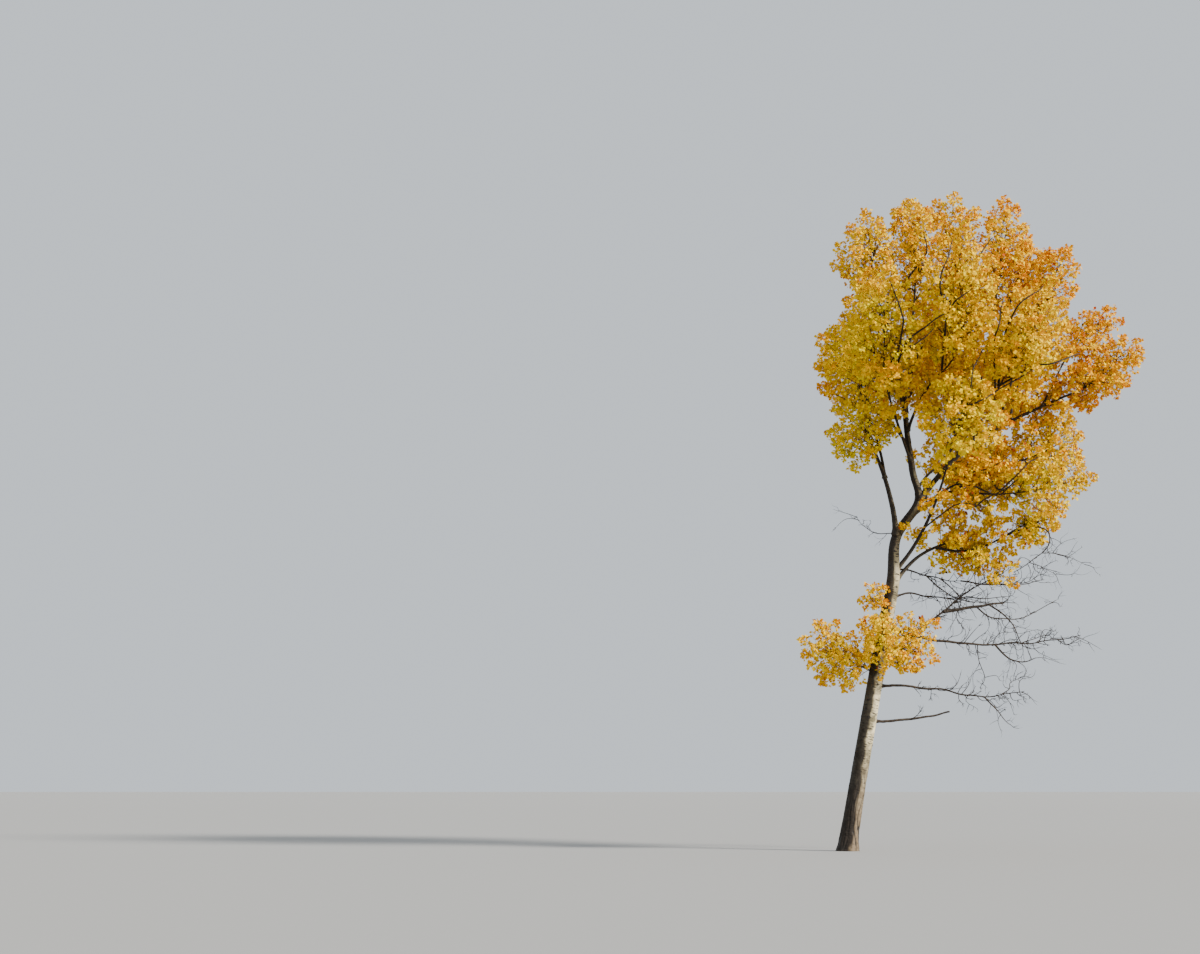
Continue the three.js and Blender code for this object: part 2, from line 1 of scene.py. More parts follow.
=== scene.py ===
import math
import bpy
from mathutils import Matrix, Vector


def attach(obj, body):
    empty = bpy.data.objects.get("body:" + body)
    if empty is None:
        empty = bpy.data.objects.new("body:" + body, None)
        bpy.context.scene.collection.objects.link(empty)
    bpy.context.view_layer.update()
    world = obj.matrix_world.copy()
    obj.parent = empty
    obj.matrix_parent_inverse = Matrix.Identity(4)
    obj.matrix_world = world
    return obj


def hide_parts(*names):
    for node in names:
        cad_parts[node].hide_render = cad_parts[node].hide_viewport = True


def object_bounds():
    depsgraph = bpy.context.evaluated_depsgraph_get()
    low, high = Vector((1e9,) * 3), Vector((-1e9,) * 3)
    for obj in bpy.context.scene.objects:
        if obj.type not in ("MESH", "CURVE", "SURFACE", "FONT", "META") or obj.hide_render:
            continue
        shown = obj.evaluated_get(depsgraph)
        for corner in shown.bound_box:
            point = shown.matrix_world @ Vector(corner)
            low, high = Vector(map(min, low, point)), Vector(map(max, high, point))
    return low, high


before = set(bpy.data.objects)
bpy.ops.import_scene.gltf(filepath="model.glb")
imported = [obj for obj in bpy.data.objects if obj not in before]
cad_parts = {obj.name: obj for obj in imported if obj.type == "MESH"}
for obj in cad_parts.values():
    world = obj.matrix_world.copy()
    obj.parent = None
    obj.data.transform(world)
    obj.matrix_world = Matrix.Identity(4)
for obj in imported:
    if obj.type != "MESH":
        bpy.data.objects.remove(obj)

from types import SimpleNamespace

import bpy
import numpy as np
from mathutils import Vector, noise

# A leaning poplar of the aspen kind in golden autumn leaf. Units are metres, +Z is up, and the
# origin lies at the middle of the flat cut under the trunk. The limbs and leaf masses repeat the
# sizes and the growing rule of the solids, and carry them on to bark, fine twigs and leaves.
solid_low, solid_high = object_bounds()

# Trunk. One live stem that leans to the side and kinks at its fork, cut flat at the ground.
# Its bark is thin and pale with dark scars, and thick, brown and furrowed towards the foot.
# It is a tube round the stem's middle line, pushed in and out by the relief of the bark.
TRUNK_STATIONS = np.array((  # height, lean, depth, diameter
    (0.00, 0.000, 0.000, 0.450),
    (1.25, 0.230, 0.000, 0.422),
    (3.25, 0.625, 0.010, 0.402),
    (5.20, 1.020, 0.020, 0.372),
    (6.75, 1.345, 0.020, 0.332),
    (7.90, 1.455, 0.010, 0.256),
    (8.86, 2.060, 0.000, 0.208),
    (9.75, 1.930, 0.020, 0.172),
    (11.50, 1.810, 0.040, 0.128),
    (13.85, 2.080, 0.000, 0.062),
))
TRUNK_SIDES = 80
TRUNK_RINGS_PER_STATION = 2     # on the coarse line that the boughs are set on
TURN_LEVEL = 0.9                # the rings turn level over this height, for the flat cut
FINE_RING_STEP = 0.012
RING_STEP = 0.026
ROOT_FLARE = 0.30               # at the ground, as a share of the radius
ROOT_FLARE_HEIGHT = 0.33
ROOT_LOBES = 5
ROOT_LOBE_DEPTH = 0.35
FURROWS_FADE = (0.5, 3.2)       # the height over which the old, furrowed bark ends
FURROW_DEPTH = 0.017
PLATE_RISE = 0.005              # how far the plates between furrows stand out
WIDE_CRACKS = ((11, 11, 1.7), 0.13)             # scale on each axis, and width
FINE_CRACKS = ((24, 24, 5), 0.12)
TRUNK_WAVES = ((0.006, (5, 5, 1.2)), (0.0025, (9, 9, 28)))      # depth, and scale on each axis
KNOT_COUNT = 46
KNOT_HEIGHTS = (1.9, 13.2)
KNOT_SIZES = (0.024, 0.052)
KNOT_RISE = 0.013
KNOT_PIT = 0.016
PIT_SHARPNESS = 2.2             # how many times narrower the pit in a knot is than its swelling
SCAR_SHARPNESS = 1.25           # and how many times narrower its dark scar is
SCAR_SQUEEZE = 0.8              # below 1, so that the scar is taller than it is wide
BROW_WIDTH = 0.014              # of the dark lines that lean on a knot from both sides
BROW_RISE = 1.2                 # their top above the knot, in sizes of the knot
BROW_SLOPE = 0.75
BROW_REACH = 1.9                # to each side, in sizes of the knot
BROWN_AND_SHADE_FROM = (6.3, 7.8)         # the height over which the pale bark turns brown and darker, partly painted shade under the leaves
# The wood's side away from the key light is painted dark: painted shade with a ragged edge.
PAINTED_SHADE_WAY = np.array((-0.93, -0.14, -0.34))      # the way that the painted shade on the wood faces, away from the key light
PAINTED_SHADE_EDGE = (-0.01, 0.29)
PAINTED_SHADE_WAVES = ((0.30, (4, 4, 1.5)), (0.15, (14, 14, 6)))
PAINTED_SHADE_AT_FOOT = 0.16             # how much further the painted shade reaches round the foot
MOST_PAINTED_SHADE = 0.94
UP = np.array((0.0, 0.0, 1.0))
FIRST_ACROSS = np.array((0.31, 1.0, 0.17))
GOLDEN_ANGLE = 2.39996


def unit(vectors):
    return vectors / np.maximum(np.linalg.norm(vectors, axis=-1, keepdims=True), 1e-12)


def smooth_step(low, high, values):
    share = np.clip((values - low) / (high - low), 0, 1)
    return share * share * (3 - 2 * share)


def noise_at(places, scale):
    """Smooth noise from about -1 to 1 at each place, with a scale for each axis."""
    flat = (places * np.array(scale)).reshape(-1, 3)
    return np.array([noise.noise(Vector(p)) for p in flat]).reshape(places.shape[:-1])


def waves_at(places, waves):
    return sum(size * noise_at(places, scale) for size, scale in waves)


def cracks_at(places, scale, width):
    """1 along the lines where noise is nought, and falling away within a width of them."""
    return np.exp(-(noise_at(places, scale) / width) ** 2)


def through_points(points, position):
    """The smooth curve through points, at positions counted in points from 0."""
    last = len(points) - 1
    k = np.minimum(position.astype(int), last - 1)
    u = (position - k)[:, None]
    a, b = points[np.maximum(k - 1, 0)], points[k]
    c, d = points[k + 1], points[np.minimum(k + 2, last)]
    return b + 0.5 * u * (c - a + u * (2 * a - 5 * b + 4 * c - d + u * (3 * (b - c) + d - a)))


def trunk_line(position):
    """Middle points and radii of the trunk, at positions counted in stations."""
    points = TRUNK_STATIONS[:, (1, 2, 0)]
    diameter = np.interp(position, np.arange(len(points)), TRUNK_STATIONS[:, 3])
    return through_points(points, position), diameter / 2


def spokes(across, other, sides):
    """Even directions round a limb's middle line, and their angles."""
    angle = np.arange(sides) * 2 * math.pi / sides
    outward = (across[:, None] * np.cos(angle)[None, :, None]
               + other[:, None] * np.sin(angle)[None, :, None])
    return outward, angle


def rings_round(line, radius, sides, level_over=0.0):
    """Rings round a limb's middle line. Their place is on the straightened limb, where the bark's
    pattern lies."""
    heading = unit(np.gradient(line, axis=0))
    if level_over:
        share = smooth_step(0, level_over, line[:, 2])[:, None]
        heading = unit(UP * (1 - share) + heading * share)
    across = np.empty_like(line)
    turned = FIRST_ACROSS
    for i, way in enumerate(heading):
        turned = unit(turned - way * turned.dot(way))
        across[i] = turned
    outward, angle = spokes(across, np.cross(heading, across), sides)
    steps = np.linalg.norm(np.diff(line, axis=0), axis=1)
    place = np.empty((len(line), sides, 3))
    place[..., 0] = radius[:, None] * np.cos(angle)
    place[..., 1] = radius[:, None] * np.sin(angle)
    place[..., 2] = np.concatenate(((0,), np.cumsum(steps)))[:, None]
    return SimpleNamespace(outward=outward, angle=np.tile(angle, (len(line), 1)), place=place,
                           height=line[:, 2:], radius=radius[:, None])


def tube_faces(rings, sides):
    """Four-cornered faces between rings."""
    ring, side = np.meshgrid(np.arange(rings - 1), np.arange(sides), indexing="ij")
    low, after = ring * sides, (side + 1) % sides
    quads = np.stack((low + side, low + after, low + sides + after, low + sides + side), -1)
    return [tuple(face) for face in quads.reshape(-1, 4).tolist()]


def limb_part(line, radius, sides, relief, marks, level_over=0.0):
    """One limb as a closed skin. relief gives how far each point stands out, and marks gives the
    masks that the bark's colours read."""
    rings = rings_round(line, radius, sides, level_over)
    points = line[:, None] + rings.outward * (rings.radius + relief(rings))[..., None]
    first, last, top = len(line) * sides, len(line) * sides + 1, (len(line) - 1) * sides
    caps = [(first, (k + 1) % sides, k) for k in range(sides)]
    caps += [(last, top + k, top + (k + 1) % sides) for k in range(sides)]
    return {
        "points": np.concatenate((points.reshape(-1, 3), line[(0, -1), :])),
        "faces": tube_faces(len(line), sides) + caps,
        "place": np.concatenate((rings.place.reshape(-1, 3), rings.place[(0, -1), 0])),
        "masks": {name: np.append(np.broadcast_to(mask, rings.angle.shape), (0, 0))
                  for name, mask in marks(rings).items()},
    }


def make_piece(name, parts, material, nodes):
    """Joins parts into one mesh that rides on the tree and stands for the named solids."""
    starts = np.cumsum([0] + [len(part["points"]) for part in parts])
    faces = [tuple(corner + start for corner in face)
             for part, start in zip(parts, starts.tolist()) for face in part["faces"]]
    mesh = bpy.data.meshes.new(name)
    mesh.from_pydata(np.concatenate([part["points"] for part in parts]).tolist(), [], faces)
    place = np.concatenate([part["place"] for part in parts]).astype(np.float32)
    mesh.attributes.new("place", "FLOAT_VECTOR", "POINT").data.foreach_set("vector", place.ravel())
    for mask in parts[0]["masks"]:
        values = np.concatenate([part["masks"][mask] for part in parts]).astype(np.float32)
        mesh.attributes.new(mask, "FLOAT", "POINT").data.foreach_set("value", values)
    mesh.polygons.foreach_set("use_smooth", np.ones(len(mesh.polygons), bool))
    mesh.update()
    add_piece(name, mesh, material, nodes)


def add_piece(name, mesh, material, nodes):
    mesh.materials.append(material)
    piece = bpy.data.objects.new(name, mesh)
    bpy.context.scene.collection.objects.link(piece)
    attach(piece, "root")
    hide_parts(*nodes)


# Each knot is the healed scar of a shed bough: height, angle and size.
knot_random = np.random.default_rng(11)
knots = np.column_stack((
    np.sort(knot_random.uniform(*KNOT_HEIGHTS, KNOT_COUNT)),
    np.arange(KNOT_COUNT) * GOLDEN_ANGLE % (2 * math.pi),
    knot_random.uniform(*KNOT_SIZES, KNOT_COUNT),
))


def knot_offsets(rings):
    """For each knot in turn, how far every point lies around and along the trunk from it."""
    for height, turn, size in knots:
        around = (rings.angle - turn + math.pi) % (2 * math.pi) - math.pi
        yield around * rings.radius, rings.place[..., 2] - height, size


def foot_share(rings):
    """1 where the bark is old and furrowed, fading out up the trunk."""
    return 1 - smooth_step(*FURROWS_FADE, rings.height)


def furrows(place):
    """Upright cracks: 1 in the bottom of a crack and 0 on the plates between them."""
    wide = cracks_at(place, *WIDE_CRACKS)
    fine = cracks_at(place + 5, *FINE_CRACKS)
    return np.clip(wide + 0.5 * fine, 0, 1)


def trunk_relief(rings):
    flare = ROOT_FLARE * np.exp(-rings.height / ROOT_FLARE_HEIGHT)
    depth = rings.radius * flare * (1 + ROOT_LOBE_DEPTH * np.cos(ROOT_LOBES * rings.angle))
    depth += foot_share(rings) * (PLATE_RISE - FURROW_DEPTH * furrows(rings.place))
    depth += waves_at(rings.place, TRUNK_WAVES)
    for around, along, size in knot_offsets(rings):
        apart = np.hypot(around, along) / size
        depth += (KNOT_RISE * np.exp(-apart ** 2)
                  - KNOT_PIT * np.exp(-(apart * PIT_SHARPNESS) ** 2))
    return depth


def painted_shade_side(rings, spread):
    """1 on the side of the wood away from the key light, where its shade is painted dark into the
    bark, with a ragged edge towards the lit side. spread takes it further round."""
    ragged = waves_at(rings.place, PAINTED_SHADE_WAVES)
    return MOST_PAINTED_SHADE * smooth_step(*PAINTED_SHADE_EDGE, rings.outward @ PAINTED_SHADE_WAY + ragged + spread)


def trunk_marks(rings):
    """Masks: scar for knots and the dark brows over them, furrow for cracks, foot for old bark,
    a mask for the browner bark of the top, darkened as painted shade under the leaves, and one
    for the painted shade on the side away from the key light."""
    scar = np.zeros(rings.angle.shape)
    for around, along, size in knot_offsets(rings):
        apart = np.hypot(around, along * SCAR_SQUEEZE) / size
        scar += np.exp(-((apart * SCAR_SHARPNESS) ** 4))
        brow = along - BROW_RISE * size + BROW_SLOPE * np.abs(around)
        scar += np.exp(-(brow / BROW_WIDTH) ** 2) * np.exp(-(around / size / BROW_REACH) ** 4)
    foot = foot_share(rings)
    return {"scar": np.clip(scar, 0, 1), "furrow": furrows(rings.place) * foot, "foot": foot,
            "young": smooth_step(*BROWN_AND_SHADE_FROM, rings.height),
            "damp": painted_shade_side(rings, PAINTED_SHADE_AT_FOOT * foot)}


def add_node(tree, kind, inputs=None, **settings):
    """Adds a node. An input is given a value, or another node's output to be linked to."""
    node = tree.nodes.new("ShaderNode" + kind)
    for name, value in settings.items():
        setattr(node, name, value)
    for name, value in (inputs or {}).items():
        if isinstance(value, bpy.types.NodeSocket):
            tree.links.new(value, node.inputs[name])
        else:
            node.inputs[name].default_value = value
    return node


# Pale and dark patches in the bark, with dashes that lie across the limb, as lenticels do.
bark_pattern = bpy.data.node_groups.new("bark_pattern", "ShaderNodeTree")
for direction, socket, kind in (
        ("INPUT", "Place", "Vector"), ("INPUT", "Patch Scale", "Float"),
        ("INPUT", "Dash Scale", "Float"), ("INPUT", "Dash Stretch", "Vector"),
        ("OUTPUT", "Patches", "Float"), ("OUTPUT", "Dashes", "Float"),
        ("OUTPUT", "Height", "Float")):
    bark_pattern.interface.new_socket(socket, in_out=direction, socket_type="NodeSocket" + kind)
pattern_in = bark_pattern.nodes.new("NodeGroupInput").outputs
pattern_out = bark_pattern.nodes.new("NodeGroupOutput").inputs


def pattern_spots(vector, scale, detail, roughness, low, high):
    """Noise in the bark's pattern, and the spots where it passes from low to high."""
    cloud = add_node(bark_pattern, "TexNoise", {
        "Vector": vector, "Scale": scale, "Detail": detail, "Roughness": roughness})
    spots = add_node(bark_pattern, "MapRange", {
        "Value": cloud.outputs[0], "From Min": low, "From Max": high,
    }, interpolation_type="SMOOTHSTEP")
    return cloud.outputs[0], spots.outputs[0]


stretched = add_node(bark_pattern, "VectorMath", {
    0: pattern_in["Place"], 1: pattern_in["Dash Stretch"]}, operation="MULTIPLY")
clouds, patches = pattern_spots(
    pattern_in["Place"], pattern_in["Patch Scale"], 5.0, 0.62, 0.38, 0.64)
_, dashes = pattern_spots(
    stretched.outputs[0], pattern_in["Dash Scale"], 3.0, 0.55, 0.555, 0.645)
raised = add_node(bark_pattern, "Math", {0: clouds, 1: dashes}, operation="SUBTRACT")
bark_pattern.links.new(patches, pattern_out["Patches"])
bark_pattern.links.new(dashes, pattern_out["Dashes"])
bark_pattern.links.new(raised.outputs[0], pattern_out["Height"])


def new_material(name, roughness, specular):
    material = bpy.data.materials.new(name)
    material.use_nodes = True
    shader = material.node_tree.nodes["Principled BSDF"]
    shader.inputs["Roughness"].default_value = roughness
    shader.inputs["Specular IOR Level"].default_value = specular
    return material, material.node_tree, shader


def mixed(tree, share, first, second):
    """The colour between first and second, by a share from 0 to 1."""
    node = add_node(tree, "Mix", {0: share, 6: first, 7: second}, data_type="RGBA")
    return node.outputs[2]


BARK_SHINE = 0.25
BUMP_STRENGTH = 0.8


def new_bark(name, color, layers, patch_scale, dash_scale, dash_stretch, roughness, bump_depth):
    """A bark with colours laid over one another, each where a mask of the mesh or an output of
    the bark's pattern says. Its roughness and fine bump follow the pattern."""
    material, tree, shader = new_material(name, roughness[0], BARK_SHINE)
    place = add_node(tree, "Attribute", attribute_name="place")
    pattern = add_node(tree, "Group", {
        "Place": place.outputs["Vector"], "Patch Scale": patch_scale,
        "Dash Scale": dash_scale, "Dash Stretch": dash_stretch,
    }, node_tree=bark_pattern)
    for mask, layer in layers:
        if mask in pattern.outputs:
            share = pattern.outputs[mask]
        else:
            share = add_node(tree, "Attribute", attribute_name=mask).outputs["Fac"]
        color = mixed(tree, share, color, layer)
    rough = add_node(tree, "MapRange", {
        "Value": pattern.outputs["Patches"], "To Min": roughness[0], "To Max": roughness[1],
    })
    bump = add_node(tree, "Bump", {
        "Height": pattern.outputs["Height"], "Distance": bump_depth, "Strength": BUMP_STRENGTH,
    })
    tree.links.new(color, shader.inputs["Base Color"])
    tree.links.new(rough.outputs[0], shader.inputs["Roughness"])
    tree.links.new(bump.outputs[0], shader.inputs["Normal"])
    return material


PALE_BARK = (0.78, 0.67, 0.41, 1)
GREEN_BARK = (0.165, 0.140, 0.080, 1)
# The browner bark of the top, made darker as painted shade of the leaves over it.
BROWN_TOP_SHADED_BARK = (0.095, 0.074, 0.044, 1)
SCAR_BARK = (0.022, 0.018, 0.014, 1)
OLD_BARK = (0.195, 0.140, 0.084, 1)
CRACK_BARK = (0.016, 0.013, 0.010, 1)
# The colour of the painted shade on the side of the wood away from the key light.
PAINTED_SHADE_BARK = (0.016, 0.011, 0.008, 1)
trunk_bark = new_bark(
    "trunk_bark", PALE_BARK,
    (("young", BROWN_TOP_SHADED_BARK), ("Patches", GREEN_BARK), ("Dashes", SCAR_BARK), ("foot", OLD_BARK),
     ("damp", PAINTED_SHADE_BARK), ("scar", SCAR_BARK), ("furrow", CRACK_BARK)),
    patch_scale=2.4, dash_scale=8.5, dash_stretch=(0.70, 0.70, 3.6),
    roughness=(0.62, 0.86), bump_depth=0.006,
)

fine = np.arange(0, FURROWS_FADE[1], FINE_RING_STEP)
above = np.arange(FURROWS_FADE[1], TRUNK_STATIONS[-1, 0], RING_STEP)
ring_heights = np.concatenate((fine, above, TRUNK_STATIONS[-1:, 0]))
trunk_middle, trunk_radius = trunk_line(
    np.interp(ring_heights, TRUNK_STATIONS[:, 0], np.arange(len(TRUNK_STATIONS))))
trunk = limb_part(trunk_middle, trunk_radius, TRUNK_SIDES, trunk_relief, trunk_marks, TURN_LEVEL)
make_piece("trunk_with_bark", [trunk], trunk_bark, ["trunk"])


# Live boughs. Tapering limbs with smooth olive-brown bark, darkened as painted shade of the leaves,
# each grown out of the trunk or out of another bough with a swollen collar. All of them are joined
# into one skin with its own relief.
BOUGHS = (
    # name, parent, height or share on it, tip, rise, sway, wave, girth, end girth
    ("left_stem", "trunk", 7.93, (1.09, -0.06, 9.8), 0, -0.19, 0, 0.168, 0.096),
    ("left_bough", "left_stem", 0.8, (0.93, 0.42, 11.05), 0.06, 0.06, 0, 0.092, 0.054),
    ("top_left_bough", "trunk", 10.95, (1.12, -0.33, 13.9), 0.26, 0.06, 0.04, 0.092, 0.048),
    ("front_left_bough", "trunk", 9.9, (1.15, -1.25, 11.5), 0.18, 0.08, 0, 0.088, 0.05),
    ("back_left_bough", "trunk", 10.3, (1.15, 1.35, 11.7), 0.18, -0.08, 0, 0.086, 0.05),
    ("front_middle_bough", "trunk", 10.7, (2.55, -1.45, 12.0), 0.16, 0.06, 0, 0.084, 0.05),
    ("back_middle_bough", "trunk", 11.2, (2.5, 1.5, 12.3), 0.16, -0.06, 0, 0.082, 0.05),
    ("top_bough", "trunk", 11.75, (3.0, 0.25, 14.15), 0.26, -0.06, 0.06, 0.084, 0.048),
    ("upper_right_bough", "trunk", 8.85, (6.15, -0.25, 11.68), 0.48, 0, 0.09, 0.15, 0.056),
    ("arm_bough", "upper_right_bough", 0.8, (6.05, 0.26, 12.6), 0.06, 0.04, 0, 0.062, 0.042),
    ("low_arm_bough", "upper_right_bough", 0.7, (6.15, 0.7, 11.62), 0.04, -0.06, 0, 0.062, 0.042),
    ("middle_right_bough", "upper_right_bough", 0.6, (4.9, 0.3, 12.15), 0, -0.06, 0, 0.068, 0.044),
    ("spire_bough", "upper_right_bough", 0.52, (5.08, -0.42, 13.25), 0.12, 0.1, 0.05, 0.078, 0.046),
    ("high_right_bough", "upper_right_bough", 0.44, (4.6, 0.56, 13.7), 0.12, -0.08, 0.05, 0.078, 0.046),
    ("top_right_bough", "upper_right_bough", 0.36, (4.2, -0.35, 14.2), 0.1, 0.1, 0.06, 0.08, 0.046),
    ("inner_bough", "upper_right_bough", 0.27, (2.95, 0.06, 11.4), 0.06, -0.08, 0, 0.072, 0.046),
    ("front_right_bough", "upper_right_bough", 0.48, (3.95, -1.5, 11.6), 0.12, 0.06, 0, 0.072, 0.046),
    ("back_right_bough", "upper_right_bough", 0.4, (3.95, 1.55, 11.6), 0.12, -0.06, 0, 0.072, 0.046),
    ("outer_right_bough", "trunk", 8.48, (4.7, 0.25, 9.93), 0.11, -0.09, -0.02, 0.118, 0.054),
    ("lower_right_bough", "outer_right_bough", 0.45, (3.65, -0.48, 8.98), -0.03, 0.06, 0, 0.066, 0.042),
    ("back_low_bough", "trunk", 9.15, (3.25, 1.55, 10.15), 0.14, -0.08, 0, 0.082, 0.048),
    ("front_low_bough", "trunk", 6.98, (2.65, -1.3, 9.85), -0.06, -0.33, -0.02, 0.112, 0.05),
    ("low_bough", "trunk", 6.64, (3.25, 0.42, 8.02), 0.26, 0.04, 0.06, 0.112, 0.05),
    ("sweeping_bough", "low_bough", 0.62, (4.15, -0.26, 7.9), -0.22, 0.06, 0, 0.07, 0.04),
)
BOUGH_RINGS = 6                 # on the coarse lines that later growth is set on
BOUGH_RING_STEP = 0.03
FEWEST_RINGS = 6
COLLAR_SWELL = 0.35
COLLAR_REACH = 0.05
JOINT_SWELL = 0.45              # how much wider a bough is where it leaves the bark of its parent
JOINT_REACH = 0.9               # along the bough, in its own radii
BURIED = 0.55                   # how deep it starts in its parent, in the parent's radii
THICK_BOUGH = 0.09              # from this girth on, a bough has more sides
THICK_SIDES = 16
THIN_SIDES = 12
BOUGH_WAVES = ((0.07, (7, 7, 3)), (0.035, (14, 14, 42)))        # in radii
BOUGH_TAPER = 0.8               # the power of the share along a bough by which its girth falls
WRINKLE_REACH = 0.16
WRINKLE_SCALE = (6, 6, 60)
WRINKLES_FROM = 0.05            # the noise from which there is a wrinkle
WRINKLE_DARKNESS = 0.8
SPOT_SCALE = (11, 11, 5)
SPOTS_FROM = (0.42, 0.55)       # the noise from which a bough has a dark spot
PALE_FROM = (0.03, 0.075)       # the radius from which the bark is paler
# how much further the painted shade reaches round the boughs
PAINTED_SHADE_ON_BOUGHS = 0.10


def bough_line(start, tip, rise, sway, wave, girth, end, shares):
    """Middle points and radii of a bough, at shares of its way from start to tip."""
    chord = tip - start
    side = unit(np.cross(chord, UP))
    t = shares[:, None]
    bow = 4 * t * (1 - t)
    line = (start + chord * t + UP * (rise * bow + wave * np.sin(2 * math.pi * t))
            + side * (sway * bow))
    taper = girth + (end - girth) * shares ** BOUGH_TAPER
    return line, taper * (1 + COLLAR_SWELL * np.exp(-shares / COLLAR_REACH)) / 2


def at_height(line, height):
    """The point of a coarse line at a height."""
    above = int(np.argmax(line[:, 2] >= height))
    low, high = line[above - 1], line[above]
    return low + (high - low) * (height - low[2]) / (high[2] - low[2])


def at_share(line, share):
    position = share * (len(line) - 1)
    k = min(int(position), len(line) - 2)
    return line[k] + (line[k + 1] - line[k]) * (position - k)


# Each limb's coarse middle points and radii, and its middle points as a function of shares.
coarse = {"trunk": trunk_line(
    np.arange(0, len(TRUNK_STATIONS) - 1 + 1e-9, 1 / TRUNK_RINGS_PER_STATION))}
courses = {"trunk": lambda shares: trunk_line(shares * (len(TRUNK_STATIONS) - 1))[0]}


def set_bough(name, parent, where, tip, *bends):
    """Sets a bough on its parent. Returns its middle points and radii as a function of shares."""
    parent_line = coarse[parent][0]
    start = at_height(parent_line, where) if parent == "trunk" else at_share(parent_line, where)

    def curve(shares):
        return bough_line(start, np.array(tip), *bends, shares)

    coarse[name] = curve(np.linspace(0, 1, BOUGH_RINGS + 1))
    courses[name] = lambda shares: curve(shares)[0]
    return curve


def bark_ripple(rings):
    """Slow swelling, and fine rings across the limb, in proportion to its radius."""
    return rings.radius * waves_at(rings.place, BOUGH_WAVES)


def bough_marks(rings):
    """Masks: scar for dark wrinkles at the joint and sparse knots, pale for the older wood, and
    one for the painted shade on the side away from the key light."""
    wrinkle = (np.exp(-rings.place[..., 2] / WRINKLE_REACH)
               * (noise_at(rings.place, WRINKLE_SCALE) > WRINKLES_FROM))
    spots = smooth_step(*SPOTS_FROM, noise_at(rings.place + 9, SPOT_SCALE))
    return {"scar": np.clip(WRINKLE_DARKNESS * wrinkle + spots, 0, 1),
            "pale": smooth_step(*PALE_FROM, rings.radius),
            "damp": painted_shade_side(rings, PAINTED_SHADE_ON_BOUGHS)}


def bough_part(curve, parent, sides, relief, marks, bend=None):
    """A bough's skin from just inside its parent's bark to its tip, with a swollen joint."""
    ends = curve(np.array((0.0, 1.0)))[0]
    length = np.linalg.norm(ends[1] - ends[0])
    parent_line, parent_radius = coarse[parent]
    buried = parent_radius[np.argmin(np.linalg.norm(parent_line - ends[0], axis=1))]
    rings = max(int(length / BOUGH_RING_STEP), FEWEST_RINGS)
    shares = np.linspace(BURIED * buried / length, 1, rings)
    line, radius = curve(shares)
    beyond = np.maximum(shares * length - buried, 0)
    radius = radius * (1 + JOINT_SWELL * np.exp(-beyond / (JOINT_REACH * radius[0])))
    if bend is not None:
        line = bend(line, shares)
    return limb_part(line, radius, sides, relief, marks)


BOUGH_PALE = (0.24, 0.20, 0.125, 1)
# The boughs' olive bark, set darker than the wood is, as painted shade of the leaves over them.
SHADED_BOUGH_OLIVE = (0.062, 0.047, 0.028, 1)
BOUGH_DARK = (0.020, 0.015, 0.010, 1)
# Its darkest layer but for scars is painted shade on the side away from the key light.
bough_bark = new_bark(
    "bough_bark", SHADED_BOUGH_OLIVE,
    (("pale", BOUGH_PALE), ("Patches", SHADED_BOUGH_OLIVE), ("Dashes", BOUGH_DARK),
     ("damp", PAINTED_SHADE_BARK), ("scar", BOUGH_DARK)),
    patch_scale=5.0, dash_scale=16.0, dash_stretch=(0.6, 0.6, 3.6),
    roughness=(0.58, 0.82), bump_depth=0.003,
)

bough_parts = []
for name, parent, where, tip, *bends in BOUGHS:
    curve = set_bough(name, parent, where, tip, *bends)
    sides = THICK_SIDES if bends[3] > THICK_BOUGH else THIN_SIDES
    bough_parts.append(bough_part(curve, parent, sides, bark_ripple, bough_marks))
make_piece("live_boughs", bough_parts, bough_bark, [row[0] for row in BOUGHS])


# Dead boughs. Bare, brittle and crooked limbs low on one side, with no bark left on the thin
# ends. Each carries broken spurs and long thin branches, which fork on into fine bare twigs.
DEAD_BOUGHS = (
    # name, parent, height, tip, rise, sway, wave, girth, end girth, number of spurs
    ("dead_bough_top", "trunk", 7.08, (3.15, 0.33, 6.83), 0.04, -0.24, 0.06, 0.064, 0.016, 3),
    ("dead_bough_upper", "trunk", 6.35, (3.24, 0.18, 6.4), 0.06, -0.04, 0.06, 0.066, 0.018, 3),
    ("dead_bough_tufted", "trunk", 5.23, (4.12, -0.33, 6.95), -0.11, 0.08, -0.13, 0.092, 0.02, 5),
    ("dead_bough_long", "trunk", 5.62, (6.2, 0.38, 5.42), -0.34, -0.06, -0.03, 0.096, 0.018, 7),
    ("dead_bough_lower", "trunk", 4.11, (4.56, -0.18, 3.96), -0.09, 0.06, 0.09, 0.084, 0.018, 5),
    ("dead_bough_stub", "trunk", 3.23, (2.7, 0.06, 3.46), -0.06, 0, 0, 0.088, 0.044, 1),
)
